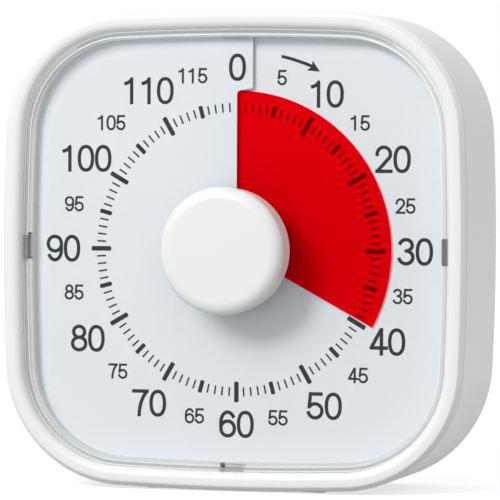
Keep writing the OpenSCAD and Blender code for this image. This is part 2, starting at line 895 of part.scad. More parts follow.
module third_wheel() {
    translate(third_at)
        train_wheel(third_teeth, third_wheel_z, rotor_dir,
                    second_wheel_z - 0.4, thin_wheel_t + 0.8, third_dir + 180 + half_tooth);
}

module rotor_pinion() {
    color("ivory") translate(rotor_at) {
        gear(pinion_teeth, rotor_pinion_z, thin_wheel_t + 0.9, rotor_dir + 180 + half_tooth);
        rod(rotor_pivot_r, cover_floor_z - pivot_depth + 0.3, plate_z + pivot_depth - 0.3);
    }
}

module rotor_magnet() {
    color("dimgray") translate(rotor_at) difference() {
        rod(3, rotor_pinion_z - 3, rotor_pinion_z);
        rod(rotor_pivot_r + 0.02, rotor_pinion_z - 4, rotor_pinion_z + 1);
    }
}

// ---- Battery door and volume slider ----

module battery_door() {
    low = -door_h / 2;
    color("white") {
        difference() {
            translate([0, bay_y]) slab(back_z, back_z + door_t) union() {
                translate([0, door_t / 4]) rounded_rect(door_w, door_h - door_t / 2, 1.7);
                translate([-door_w / 2, low + door_t / 2]) square([door_w, 4]);
            }
            // Finger dip over the latch
            translate([0, bay_y + door_h / 2 - 4.5, back_z - 13.2]) sphere(r = 14);
        }
        // The latch hooks under the bay's frame
        translate([0, bay_y + door_h / 2 - 2.4, 0]) {
            box_between([-4, -1.2, back_z + door_t - 0.1], [4, -0.2, back_z + door_t + 1.8]);
            box_between([-4, -0.9, back_z + door_t + 0.4], [4, 0.9, back_z + door_t + 1.2]);
        }
        translate([0, hinge_y, hinge_z]) rotate([0, 90, 0]) {
            cylinder(r = door_t / 2, h = door_w, center = true);
            cylinder(r = hinge_r, h = door_w + 3.6, center = true);
        }
    }
}

module volume_slider() {
    color("gray") translate(switch_at) {
        slab(back_z + 0.1, wall_z + 0.4) rounded_rect(4.4, 4.4, 0.6);
        slab(wall_z + 0.3, wall_z + 0.9) square([9, 6.2], center = true);
        slab(wall_z + 0.8, wall_z + 2.2) square([3, 2.4], center = true);
    }
}

placed() front_bezel();
placed() lens_cover();
placed() dial_plate();
placed() rear_case();
placed() foot_pad(-1);  // foot_pad_left
placed() foot_pad(1);  // foot_pad_right
placed() case_screws();
placed() movement_front_plate();
placed() movement_rear_cover();
placed() movement_screws();
placed() spindle_bush();
placed() bush_nut();
placed() stator();
placed() coil_bobbin();
placed() coil_winding();
placed() alarm_contacts();
placed() circuit_board();
placed() controller_chip();
placed() quartz_crystal();
placed() board_screws();
placed() piezo_sounder();
placed() switch_body();
placed() battery_cell();
placed() contact_spring();
placed() contact_plate();
placed() battery_lead_red();
placed() battery_lead_black();
placed() knob();
placed() spindle();
placed() clutch_spring();
placed() retaining_clip();
placed() alarm_cam();
placed() red_disc();
placed() disc_hub();
placed() centre_wheel();
placed() second_wheel();
placed() third_wheel();
placed() rotor_pinion();
placed() rotor_magnet();
placed() battery_door();
placed() volume_slider();
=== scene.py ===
"""Looks of a visual countdown timer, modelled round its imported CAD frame.

New pieces are modelled on a bench in millimetres: x to the right, y up from the dial's
centre, and z towards the reader, with 0 at the front of the case. Workshop.deliver() then
puts a mesh where the frame's own pieces are, in metres.
"""

import json
import logging
from collections.abc import Callable, Sequence
from dataclasses import dataclass
from enum import Enum
from math import atan2, copysign, cos, degrees, hypot, radians, sin, sqrt

import bmesh
import bpy
from mathutils import Matrix, Vector

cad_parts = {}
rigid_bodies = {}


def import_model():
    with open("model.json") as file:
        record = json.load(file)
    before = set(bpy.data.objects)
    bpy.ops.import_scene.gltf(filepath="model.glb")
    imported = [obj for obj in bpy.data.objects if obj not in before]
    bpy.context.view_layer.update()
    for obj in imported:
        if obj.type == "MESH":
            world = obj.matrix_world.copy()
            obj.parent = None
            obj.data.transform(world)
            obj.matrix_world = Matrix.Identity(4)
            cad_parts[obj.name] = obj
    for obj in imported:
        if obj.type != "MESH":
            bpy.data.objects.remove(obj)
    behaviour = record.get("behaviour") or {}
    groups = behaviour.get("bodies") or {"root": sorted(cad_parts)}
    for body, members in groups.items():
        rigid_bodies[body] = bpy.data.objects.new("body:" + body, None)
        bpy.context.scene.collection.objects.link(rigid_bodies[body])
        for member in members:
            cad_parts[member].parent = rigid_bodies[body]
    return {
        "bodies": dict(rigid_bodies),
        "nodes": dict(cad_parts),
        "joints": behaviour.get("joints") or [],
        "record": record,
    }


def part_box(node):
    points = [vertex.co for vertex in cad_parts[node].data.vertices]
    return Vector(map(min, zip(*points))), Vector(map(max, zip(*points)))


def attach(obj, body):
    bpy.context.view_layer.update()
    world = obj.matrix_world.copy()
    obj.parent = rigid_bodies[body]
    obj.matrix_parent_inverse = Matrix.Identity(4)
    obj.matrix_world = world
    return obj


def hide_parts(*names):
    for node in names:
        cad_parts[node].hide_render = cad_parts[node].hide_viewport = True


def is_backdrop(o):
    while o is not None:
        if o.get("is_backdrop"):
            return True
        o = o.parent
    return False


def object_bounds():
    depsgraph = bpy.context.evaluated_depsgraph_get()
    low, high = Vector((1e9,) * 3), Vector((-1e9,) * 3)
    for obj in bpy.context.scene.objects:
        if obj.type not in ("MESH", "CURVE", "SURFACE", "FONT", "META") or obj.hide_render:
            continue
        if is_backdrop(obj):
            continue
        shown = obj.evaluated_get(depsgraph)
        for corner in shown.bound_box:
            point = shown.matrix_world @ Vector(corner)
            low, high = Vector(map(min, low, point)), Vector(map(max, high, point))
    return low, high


LOG = logging.getLogger("timer")
SMOOTH_ANGLE = radians(32)
MERGE_MM = 1e-4
MERGE_M = 1e-6
MIDDLE = 0.095  # height of the dial's middle in the frame, in metres
UNIT = 0.05648  # radius of the ring of minute marks, in metres, for the camera's lengths

Triple = tuple[float, float, float]
Colour = Triple
Point = tuple[float, float]
Ring = list[Vector]
Piece = bpy.types.Object
Inputs = dict[int | str, object]


# ---- Modelling in edit mode ----


class Join(Enum):
    """What a boolean does with its second piece."""

    ADD = "UNION"
    CUT = "DIFFERENCE"


class Tip(Enum):
    """The end of a pen stroke, by the radius of its corners as a share of half its width."""

    ROUND = 1.0
    SOFT = 0.6
    SQUARE = 0.25

    def steps(self) -> list[Point]:
        """How far the tip has run and how wide it still is, as shares of half the width.

        Returns:
            The pairs, outwards.
        """
        r = self.value
        angles = [radians(18 * k) for k in range(6)]
        pairs = [(1 - r + r * sin(a), 1 - r + r * cos(a)) for a in angles]
        return pairs if r < 1 else pairs[1:]


Tips = tuple[Tip, Tip]
ROUND_TIPS, SOFT_TIPS = (Tip.ROUND, Tip.ROUND), (Tip.SOFT, Tip.SOFT)


def deselect() -> None:
    """Leaves edit mode and selects nothing."""
    if bpy.context.mode != "OBJECT":
        bpy.ops.object.mode_set(mode="OBJECT")
    bpy.ops.object.select_all(action="DESELECT")


def focus(*pieces: Piece) -> None:
    """Selects only some pieces and makes the first of them active.

    Args:
        *pieces: the pieces.
    """
    deselect()
    for piece in pieces:
        piece.select_set(True)
    bpy.context.view_layer.objects.active = pieces[0]


def named(name: str) -> Piece:
    """Names the piece that was just added.

    Args:
        name: its name.

    Returns:
        The piece.
    """
    piece = bpy.context.active_object
    piece.name = piece.data.name = name
    return piece


def start_edit(piece: Piece) -> bmesh.types.BMesh:
    """Enters edit mode on a piece, by vertices and with nothing selected.

    Args:
        piece: the piece to edit.

    Returns:
        Its mesh as edit mode holds it.
    """
    focus(piece)
    bpy.ops.object.mode_set(mode="EDIT")
    bpy.ops.mesh.select_mode(type="VERT")
    bpy.ops.mesh.select_all(action="DESELECT")
    return bmesh.from_edit_mesh(piece.data)


def end_edit() -> None:
    """Merges doubles, turns every face outwards and leaves edit mode."""
    bpy.ops.mesh.select_mode(type="VERT")
    bpy.ops.mesh.select_all(action="SELECT")
    bpy.ops.mesh.remove_doubles(threshold=MERGE_MM)
    bpy.ops.mesh.normals_make_consistent(inside=False)
    bpy.ops.object.mode_set(mode="OBJECT")


def key(point: Vector) -> tuple[int, int, int]:
    """A place rounded to a thousandth, to find a vertex by."""
    return tuple(round(value * 1000) for value in point)


def loft(name: str, rings: Sequence[Ring], looped: bool = False) -> Piece:
    """Extrudes a circle from ring to ring.

    Args:
        name: the piece's name.
        rings: places of each ring's vertices, all of one count.
        looped: whether it runs on to its first ring. If not, both its ends are closed.

    Returns:
        The new piece.
    """
    deselect()
    bpy.ops.mesh.primitive_circle_add(vertices=len(rings[0]), radius=1)
    piece = named(name)
    mesh = start_edit(piece)
    bpy.ops.mesh.select_all(action="SELECT")
    for vert, point in zip(mesh.verts, rings[0]):
        vert.co = point
    route = [*rings, rings[0]] if looped else rings
    for ring, following in zip(route, route[1:]):
        index = {tuple(point): i for i, point in enumerate(ring)}
        bpy.ops.mesh.extrude_region_move()
        mesh = bmesh.from_edit_mesh(piece.data)
        for vert in mesh.verts:
            if vert.select:
                vert.co = following[index[tuple(vert.co)]]
        bmesh.update_edit_mesh(piece.data)
    for ring in () if looped else (rings[0], rings[-1]):
        places = {key(point) for point in ring}
        bpy.ops.mesh.select_all(action="DESELECT")
        mesh = bmesh.from_edit_mesh(piece.data)
        for vert in mesh.verts:
            vert.select = key(vert.co) in places
        mesh.select_flush(True)
        bpy.ops.mesh.edge_face_add()
    end_edit()
    return piece


def sheet(name: str, columns: int, rows: int, place: Callable[[int, int], Vector]) -> Piece:
    """Draws a grid over a surface.

    Args:
        name: the piece's name.
        columns: number of faces along it.
        rows: number of faces across it.
        place: gives where the vertex of a column and a row lies.

    Returns:
        The new piece.
    """
    deselect()
    bpy.ops.mesh.primitive_grid_add(x_subdivisions=columns, y_subdivisions=rows, size=1)
    piece = named(name)
    for vert in start_edit(piece).verts:
        vert.co = place(round((vert.co.x + 0.5) * columns), round((vert.co.y + 0.5) * rows))
    end_edit()
    return piece


def modified(piece: Piece, kind: str, **settings: object) -> Piece:
    """Adds a modifier to a piece and applies it.

    Args:
        piece: the piece.
        kind: the modifier's type.
        **settings: the modifier's own settings.

    Returns:
        The same piece.
    """
    modifier = piece.modifiers.new(kind.lower(), kind)
    for setting, value in settings.items():
        setattr(modifier, setting, value)
    focus(piece)
    bpy.ops.object.modifier_apply(modifier=modifier.name)
    return piece


def combine(piece: Piece, others: Sequence[Piece], how: Join) -> Piece:
    """Adds other pieces to a piece or cuts them out of it, and removes them.

    Args:
        piece: the piece that stays.
        others: the pieces that are used up.
        how: whether they are added or cut out.

    Returns:
        The piece that stays.
    """
    for other in others:
        modified(piece, "BOOLEAN", operation=how.value, solver="EXACT", object=other)
        bpy.data.objects.remove(other)
    return piece


def joined(name: str, pieces: Sequence[Piece]) -> Piece:
    """Makes one piece of several, without merging them.

    Args:
        name: the name of the whole.
        pieces: the pieces to join.

    Returns:
        The whole.
    """
    focus(*pieces)
    bpy.ops.object.join()
    return named(name)


def copied(piece: Piece, name: str, matrix: Matrix) -> Piece:
    """A moved copy of a piece with a mesh of its own.

    Args:
        piece: the piece to copy.
        name: the copy's name.
        matrix: where the copy goes.

    Returns:
        The copy.
    """
    copy = bpy.data.objects.new(name, piece.data.copy())
    bpy.context.scene.collection.objects.link(copy)
    copy.data.transform(matrix)
    return copy


def smoothed(piece: Piece) -> Piece:
    """Shades a piece smooth, apart from its sharp edges, and evens out its shading.

    Args:
        piece: the piece.

    Returns:
        The same piece.
    """
    focus(piece)
    bpy.ops.object.shade_smooth_by_angle(angle=SMOOTH_ANGLE)
    return modified(piece, "WEIGHTED_NORMAL", weight=60, keep_sharp=True)


def arc(centre: Point, reach: Point, start: float, end: float, steps: int) -> list[Point]:
    """Points along an elliptic arc by its half axes, between two angles in degrees."""
    angles = [radians(start + (end - start) * i / steps) for i in range(steps + 1)]
    return [(centre[0] + reach[0] * cos(a), centre[1] + reach[1] * sin(a)) for a in angles]


def bend(first: Point, pull: Point, last: Point, steps: int) -> list[Point]:
    """Points along a curve between two places that is pulled towards a third.

    Args:
        first: where it starts.
        pull: the place that it is pulled towards.
        last: where it ends.
        steps: number of steps along it.

    Returns:
        Its points.
    """
    axes = list(zip(first, pull, last))
    return [
        tuple(a * (1 - t) ** 2 + 2 * b * t * (1 - t) + c * t * t for a, b, c in axes)
        for t in (k / steps for k in range(steps + 1))
    ]


def oval(level: float, reach: Point, power: float) -> list[Point]:
    """A closed loop round a level, an ellipse at a power of 2 and squarer above it.

    Args:
        level: height of its middle.
        reach: its half axes.
        power: how square it is.

    Returns:
        Its points, which run back to the first.
    """
    circle = arc((0, 0), (1, 1), 0, 360, 48)
    full = [[copysign(abs(v) ** (2 / power), v) for v in point] for point in circle]
    return [(reach[0] * x, level + reach[1] * y) for x, y in full]


def rounded(centre: Point, size: Point, radius: float) -> list[Point]:
    """A rectangle's outline with round corners.

    Args:
        centre: its centre.
        size: its width and height.
        radius: radius of its corners.

    Returns:
        Its points, anticlockwise.
    """
    points: list[Point] = []
    for quarter, sides in enumerate(((1, 1), (-1, 1), (-1, -1), (1, -1))):
        middle = [c + side * (full / 2 - radius) for c, side, full in zip(centre, sides, size)]
        points += arc(middle, (radius, radius), 90 * quarter, 90 * quarter + 90, 5)
    return points


def circle_ring(radius: float, z: float, count: int, centre: Point = (0, 0)) -> Ring:
    """Points of a level circle."""
    return [Vector((*point, z)) for point in arc(centre, (radius, radius), 0, 360, count)[:-1]]


def prism(name: str, points: Sequence[Point], low: float, high: float) -> Piece:
    """A solid with a flat outline between two levels."""
    return loft(name, [[Vector((*point, z)) for point in points] for z in (low, high)])


def rod(
    name: str, radius: float, low: float, high: float, centre: Point = (0, 0), count: int = 32
) -> Piece:
    """An upright cylinder between two levels."""
    return prism(name, arc(centre, (radius, radius), 0, 360, count)[:-1], low, high)


def block(name: str, low: Sequence[float], high: Sequence[float]) -> Piece:
    """A box between two corners, for cutting or joining.

    Args:
        name: the piece's name.
        low: its lowest corner.
        high: its highest corner.

    Returns:
        The new piece.
    """
    deselect()
    size = [b - a for a, b in zip(low, high)]
    middle = [(a + b) / 2 for a, b in zip(low, high)]
    bpy.ops.mesh.primitive_cube_add(size=1)
    piece = named(name)
    piece.data.transform(Matrix.Translation(middle) @ Matrix.Diagonal((*size, 1)))
    return piece


def stroke(name: str, path: Sequence[Point], width: float, tips: Tips | None) -> Piece:
    """A pen stroke along a path, as a slab one millimetre thick round the level 0.

    Args:
        name: the piece's name.
        path: points along the middle of the stroke.
        width: the stroke's width.
        tips: its first and its last tip, or None for a path that runs back to its start.

    Returns:
        The new piece.
    """
    points = [Vector((*point, 0)) for point in path]
    half, last = width / 2, len(points) - 1
    sections: list[tuple[Vector, Vector, float]] = []
    for i, point in enumerate(points):
        before = points[last - 1] if not tips and i == 0 else points[max(i - 1, 0)]
        after = points[1] if not tips and i == last else points[min(i + 1, last)]
        sections.append((point, (after - before).normalized(), half))
    for end, tip in zip((0, -1), tips or ()):
        middle, along, _ = sections[end]
        way = half if end else -half
        tapered = [(middle + along * way * out, along, half * wide) for out, wide in tip.steps()]
        sections = sections + tapered if end else tapered[::-1] + sections

    def place(column: int, row: int) -> Vector:
        """Where a vertex on an edge of the stroke lies.

        Args:
            column: number of its section along the stroke.
            row: 0 on the right-hand edge, and 1 on the left-hand one.

        Returns:
            The place.
        """
        middle, along, wide = sections[column]
        side = Vector((-along.y, along.x, 0)) * (wide if row else -wide)
        return middle + side - Vector((0, 0, 0.5))

    slab = sheet(name, len(sections) - 1, 1, place)
    start_edit(slab)
    bpy.ops.mesh.select_all(action="SELECT")
    bpy.ops.mesh.extrude_region_move(TRANSFORM_OT_translate={"value": (0, 0, 1)})
    end_edit()
    return slab


# ---- Shader graphs ----


class Signal:
    """A number that runs between shader nodes and takes part in arithmetic."""

    def __init__(self, graph: "Graph", socket: bpy.types.NodeSocket) -> None:
        """Wraps an output socket of a graph."""
        self.graph, self.socket = graph, socket

    def _with(self, operation: str, first: object, second: object) -> "Signal":
        """Adds a Math node and gives its result."""
        return self.graph.signal("Math", {0: first, 1: second}, operation=operation)

    def __add__(self, other: object) -> "Signal":
        """This number plus another."""
        return self._with("ADD", self, other)

    __radd__ = __add__

    def __sub__(self, other: object) -> "Signal":
        """This number less another."""
        return self._with("SUBTRACT", self, other)

    def __rsub__(self, other: object) -> "Signal":
        """Another number less this one."""
        return self._with("SUBTRACT", other, self)

    def __mul__(self, other: object) -> "Signal":
        """This number times another."""
        return self._with("MULTIPLY", self, other)

    __rmul__ = __mul__

    def above(self, limit: float) -> "Signal":
        """1 where this number is above a limit, and 0 elsewhere."""
        return self._with("GREATER_THAN", self, limit)

    def larger(self, other: object) -> "Signal":
        """The larger of this number and another."""
        return self._with("MAXIMUM", self, other)


class Graph:
    """The nodes of a material or a world."""

    def __init__(self, owner: bpy.types.ID) -> None:
        """Clears the owner's nodes.

        Args:
            owner: the material or the world.
        """
        owner.use_nodes = True
        self.tree = owner.node_tree
        self.tree.nodes.clear()

    def node(self, kind: str, sockets: Inputs | None = None, **settings: object) -> bpy.types.Node:
        """Adds a node.

        Args:
            kind: its type, without the leading ShaderNode.
            sockets: values or links of its input sockets, by name or number.
            **settings: its own settings, which are set first.

        Returns:
            The node.
        """
        node = self.tree.nodes.new("ShaderNode" + kind)
        for setting, value in settings.items():
            setattr(node, setting, value)
        for name, value in (sockets or {}).items():
            self.feed(node.inputs[name], value)
        return node

    def feed(self, socket: bpy.types.NodeSocket, value: object) -> None:
        """Links or sets an input socket.

        Args:
            socket: the input socket.
            value: a number, a colour, or a signal, a socket or a node to link.
        """
        if isinstance(value, Signal):
            value = value.socket
        elif isinstance(value, bpy.types.Node):
            value = value.outputs[0]
        if isinstance(value, bpy.types.NodeSocket):
            self.tree.links.new(value, socket)
        else:
            socket.default_value = (*value, 1) if socket.type == "RGBA" else value

    def signal(
        self, kind: str, sockets: Inputs | None = None, output: int = 0, **settings: object
    ) -> Signal:
        """Adds a node and gives one of its outputs as a number."""
        return Signal(self, self.node(kind, sockets, **settings).outputs[output])

    def place(self) -> bpy.types.NodeSocket:
        """Object coordinates, in metres in the frame."""
        return self.node("TexCoord").outputs["Object"]

    def along(self, axis: int) -> Signal:
        """The Object coordinate along an axis."""
        return self.signal("SeparateXYZ", {0: self.place()}, axis)

    def noise(self, size: float, detail: float = 2, stretch: Triple = (1, 1, 1)) -> Signal:
        """Noise round 0.5 in patches of a size in metres, drawn out where the stretch is small."""
        spread = self.node("Mapping", {"Vector": self.place(), "Scale": stretch})
        return self.signal("TexNoise", {"Vector": spread, "Scale": 1 / size, "Detail": detail})

    def mixed(self, share: object, first: object, second: object) -> bpy.types.NodeSocket:
        """A colour between two, by the share of the second."""
        return self.node("Mix", {0: share, 6: first, 7: second}, data_type="RGBA").outputs[2]

    def seen(self) -> Signal:
        """What the camera sees, straight or by way of something clear or glossy.

        Returns:
            1 for such rays, and 0 for those that only light the scene.
        """
        path = self.node("LightPath")
        seen = Signal(self, path.outputs["Is Camera Ray"])
        for other in ("Is Glossy Ray", "Is Transmission Ray"):
            seen = seen.larger(path.outputs[other])
        return seen

    def show(self, shader: bpy.types.Node, output: str = "OutputMaterial") -> None:
        """Makes a shader what is seen."""
        self.node(output, {"Surface": shader})


# ---- Finishes ----

PATCH = 0.02  # size of the wide patches of a solid finish, in metres
PATCH_SHARE = 0.7  # how much of its tone they make, the grain making the rest
STREAK = 0.06  # how far a brushed grain is drawn out
WEAR = 0.006  # size of the patches of a clear finish, in metres
BAND_X = 0.0125  # where the sleeve's band begins, in metres
CLEAR_IOR = 1.49
STRAIGHT_ON = 0.045  # the mirroring that is left out, so that a face seen straight on is clear
PAINTED_GLOW_RISE = 1.25  # share of the full painted glow, which stands in for light from above, that is reached at the top of the case
PAINTED_GLOW_BASE = 0.3  # share of the painted glow from the middle downwards


class Pattern(Enum):
    """How a solid finish varies over its surface."""

    MOULDED = "fine even grain of a mould"
    BRUSHED = "long streaks of a rolled sheet"
    WOUND = "turns of thin wire, up the frame's height"
    TRACED = "tracks of a circuit board"
    JACKET = "printed sleeve with a band at its right end"


@dataclass(frozen=True)
class SolidFinish:
    """An opaque finish with its colour, gloss, and what varies over it."""

    colour: Colour
    roughness: float
    shade: float = 0.97  # share of the colour that is left in its darker patches
    metallic: float = 0
    coat: float = 0  # weight of a clear coat
    pattern: Pattern = Pattern.MOULDED
    grain: float = 0.0006  # size of the finest pattern, in metres
    relief: float = 0.00001  # height of that pattern, in metres
    second: Colour = (0, 0, 0)  # for a pattern of two colours
    shine: float = 0.5  # level of its plain reflection

    def paint(self, graph: Graph) -> None:
        """Adds the nodes of the finish.

        Args:
            graph: the material's empty graph.
        """
        patches = graph.noise(PATCH)
        stretch = (1, 1, STREAK) if self.pattern is Pattern.BRUSHED else (1, 1, 1)
        height = grain = graph.noise(self.grain, 1, stretch)
        tone = patches * PATCH_SHARE + grain * (1 - PATCH_SHARE)
        colour = graph.mixed(tone, tuple(c * self.shade for c in self.colour), self.colour)
        if self.pattern is Pattern.WOUND:
            turns = {"Vector": graph.place(), "Scale": 0.6 / self.grain, "Distortion": 0.4}
            height = graph.signal("TexWave", turns, wave_type="BANDS", bands_direction="Z")
            colour = graph.mixed(height, self.second, colour)
        elif self.pattern is Pattern.TRACED:
            cells = {"Vector": graph.place(), "Scale": 1 / self.grain, "Mortar Size": 0.02}
            cells |= {"Color1": (0, 0, 0), "Color2": (0, 0, 0), "Mortar": (1, 1, 1)}
            tracks = graph.signal("TexBrick", cells).above(0.5)
            colour = graph.mixed(tracks, colour, self.second)
            height = height * 0.2 + tracks
        elif self.pattern is Pattern.JACKET:
            colour = graph.mixed(graph.along(0).above(BAND_X), colour, self.second)
        look = {
            "Base Color": colour, "Roughness": grain * 0.16 + (self.roughness - 0.08),
            "Metallic": self.metallic, "Coat Weight": self.coat, "Specular IOR Level": self.shine,
            "Normal": graph.node("Bump", {"Height": height, "Distance": self.relief}),
        }
        graph.show(graph.node("BsdfPrincipled", look))


@dataclass(frozen=True)
class ClearFinish:
    """A clear finish that mirrors a little and lets the lamps through, and may carry a painted
    glow.
    """

    tint: Colour  # what one surface lets through
    mirror: float = 0.72  # how much of the reflection at flat angles it keeps
    haze: float = 0  # share of it that scatters light
    haze_colour: Colour = (0.9, 0.9, 0.9)
    glow: float = 0  # painted glow: emission that stands in for light caught at its edges, and grows towards the top as if lit from above

    def paint(self, graph: Graph) -> None:
        """Adds the nodes of the finish.

        Args:
            graph: the material's empty graph.
        """
        wear = graph.noise(WEAR)
        body = graph.node("BsdfTransparent", {"Color": self.tint})
        if self.haze:
            # painted light: the emission colour rises with height above the dial's middle, so that
            # upper edges look lit from above
            level = (graph.along(2) - MIDDLE).larger(0)
            worn, painted_glow_low = (tuple(k * c for c in self.haze_colour) for k in (0.94, PAINTED_GLOW_BASE))
            rise = level * level * (PAINTED_GLOW_RISE / MIDDLE**2)
            milk = {
                "Base Color": graph.mixed(wear, self.haze_colour, worn), "Roughness": 0.5,
                "Specular IOR Level": 0.05, "Emission Strength": self.glow,
                "Emission Color": graph.mixed(rise, painted_glow_low, self.haze_colour),
            }
            milk = graph.node("BsdfPrincipled", milk)
            body = graph.node("MixShader", {0: self.haze, 1: body, 2: milk})
        gloss = graph.node("BsdfAnisotropic", {"Roughness": wear * 0.02 + 0.02})
        edge_on = graph.signal("Fresnel", {"IOR": CLEAR_IOR})
        share = (edge_on - STRAIGHT_ON).larger(0) * self.mirror
        graph.show(graph.node("MixShader", {0: share, 1: body, 2: gloss}))


FINISHES: dict[str, SolidFinish | ClearFinish] = {
    "case_plastic": SolidFinish((0.78, 0.78, 0.772), 0.36, shade=0.985),
    "clear_lens": ClearFinish((0.99, 0.995, 0.997)),
    # painted highlights: the lens's edge, bevel and shoulder bands are whitened and glow, standing
    # in for the light their rounded edges catch
    "lens_edge": ClearFinish((0.96, 0.97, 0.97), haze=0.7, glow=0.25),
    "lens_bevel": ClearFinish((0.98, 0.985, 0.985), mirror=0.4, haze=0.1, glow=1.0),
    "lens_shoulder": ClearFinish((0.96, 0.97, 0.97), haze=0.7, glow=0.45),
    "dial_plastic": SolidFinish((0.9, 0.93, 0.955), 0.5, shade=0.985, relief=0.000004, shine=0.3),
    "dial_print": SolidFinish((0.048, 0.054, 0.06), 0.6, shade=0.9, relief=0.000004, shine=0.12),
    # painted light: the film's glow brightens its red and grows towards the top, as if lit from
    # above
    "disc_film": ClearFinish(
        (1.0, 0.05, 0.24), mirror=0.04, haze=0.06, haze_colour=(1.0, 0.0, 0.012), glow=0.9
    ),
    # painted highlight: pink on the film's cut edge stands in for the light that the edge catches
    "film_edge": SolidFinish((0.95, 0.5, 0.52), 0.4, relief=0.000002),
    "knob_plastic": SolidFinish((0.765, 0.765, 0.755), 0.32, shade=0.985),
    "pad_rubber": SolidFinish((0.62, 0.62, 0.61), 0.7, shade=0.9, relief=0.00003),
    "movement_plastic": SolidFinish((0.03, 0.03, 0.032), 0.5, shade=0.85),
    "gear_plastic": SolidFinish((0.74, 0.72, 0.66), 0.4, shade=0.94),
    "steel": SolidFinish((0.6, 0.6, 0.59), 0.3, 0.85, metallic=1, pattern=Pattern.BRUSHED),
    "brass": SolidFinish((0.75, 0.55, 0.25), 0.3, 0.85, metallic=1, pattern=Pattern.BRUSHED),
    "copper": SolidFinish(
        (0.72, 0.3, 0.14), 0.35, metallic=1, pattern=Pattern.WOUND, grain=0.0002, relief=0.00005,
        second=(0.3, 0.1, 0.04),
    ),
    "bobbin_plastic": SolidFinish((0.72, 0.7, 0.62), 0.45, shade=0.94),
    "board": SolidFinish(
        (0.02, 0.16, 0.06), 0.35, shade=0.8, pattern=Pattern.TRACED, grain=0.008, relief=0.00004,
        second=(0.05, 0.3, 0.12),
    ),
    "chip_plastic": SolidFinish((0.015, 0.015, 0.016), 0.55, shade=0.8),
    "spring_steel": SolidFinish(
        (0.62, 0.62, 0.62), 0.25, 0.85, metallic=1, pattern=Pattern.BRUSHED
    ),
    "cell_jacket": SolidFinish(
        (0.012, 0.012, 0.014), 0.28, 0.85, coat=0.5, pattern=Pattern.JACKET,
        second=(0.55, 0.27, 0.1),
    ),
    "lead_red": SolidFinish((0.5, 0.01, 0.01), 0.4, shade=0.9),
    "lead_black": SolidFinish((0.012, 0.012, 0.012), 0.45, shade=0.85),
    "slider_plastic": SolidFinish((0.25, 0.25, 0.26), 0.5, shade=0.92),
}


# ---- What the pieces share ----

SCREW_PLACES: list[Point] = [(x, y) for x in (-66, 66) for y in (-66, 66)]
TAB_PLACES = ((0, 0), (90, 0), (180, -1), (270, 0))  # turn of each tab, and its shift aside


@dataclass(frozen=True)
class Outline:
    """The case's outline: four side arcs, and four corner arcs that touch them."""

    half_width: float = 95
    side_radius: float = 1050
    corner_radius: float = 49
    side_steps: int = 9
    corner_steps: int = 28

    @property
    def side_centre(self) -> float:
        """How far a side's centre lies beyond the middle, on the other side."""
        return self.side_radius - self.half_width

    @property
    def corner_centre(self) -> float:
        """Both coordinates of a corner's centre."""
        reach = 2 * (self.side_radius - self.corner_radius) ** 2
        return (sqrt(reach - self.side_centre**2) - self.side_centre) / 2

    @property
    def touch_angle(self) -> float:
        """Angle at which a side passes into a corner, in degrees."""
        corner = self.corner_centre
        return degrees(atan2(corner, corner + self.side_centre))

    def ring(self, inset: float, z: float) -> Ring:
        """The outline drawn in by an inset.

        Args:
            inset: how far inside the outline it runs.
            z: its level.

        Returns:
            Its points, from the middle of the right-hand side.
        """
        touch, corner = self.touch_angle, self.corner_centre
        side_r, corner_r = self.side_radius - inset, self.corner_radius - inset
        side = arc((-self.side_centre, 0), (side_r, side_r), -touch, touch, self.side_steps)
        ends = touch, 90 - touch
        turn = arc((corner, corner), (corner_r, corner_r), *ends, self.corner_steps)
        quarter = side[:-1] + turn[:-1]
        turns = ((1, 0), (0, 1), (-1, 0), (0, -1))
        return [Vector((c * x - s * y, s * x + c * y, z)) for c, s in turns for x, y in quarter]

    def hole(self, radius: float, z: float) -> Ring:
        """A circle whose points lie at the same angles as the outline's."""
        across = [Vector((point.x, point.y, 0)).normalized() for point in self.ring(0, z)]
        return [point * radius + Vector((0, 0, z)) for point in across]

    def reach(self, turn: float, inset: float) -> float:
        """Distance from the centre to the outline drawn in by an inset.

        Args:
            turn: clock angle, in degrees.
            inset: how far inside the outline it is.

        Returns:
            The distance.
        """
        lean = radians(min(turn % 90, 90 - turn % 90))
        side_r, corner_r = self.side_radius - inset, self.corner_radius - inset
        touch = radians(self.touch_angle)
        across = -self.side_centre + side_r * cos(touch)
        if lean < atan2(side_r * sin(touch), across):
            back = self.side_centre * sin(lean)
            return sqrt(side_r**2 - back**2) - self.side_centre * cos(lean)
        along = self.corner_centre * (cos(lean) + sin(lean))
        return along + sqrt(corner_r**2 - 2 * self.corner_centre**2 + along**2)


@dataclass(frozen=True)
class Screw:
    """The screw surface that the dial and the disc share."""

    rise: float = 2  # how far it climbs towards the reader in one turn
    disc_z: float = -11.6  # level of the disc's middle at the top of the dial

    @property
    def sheet_z(self) -> float:
        """Level of the dial sheet's middle at the top of the dial."""
        return self.disc_z - self.rise / 2

    def point(self, radius: float, turn: float, z: float) -> Vector:
        """Where a radius and a clock angle meet on the surface that has a level at the top."""
        angle, height = radians(turn), z + self.rise * turn / 360
        return Vector((radius * sin(angle), radius * cos(angle), height))


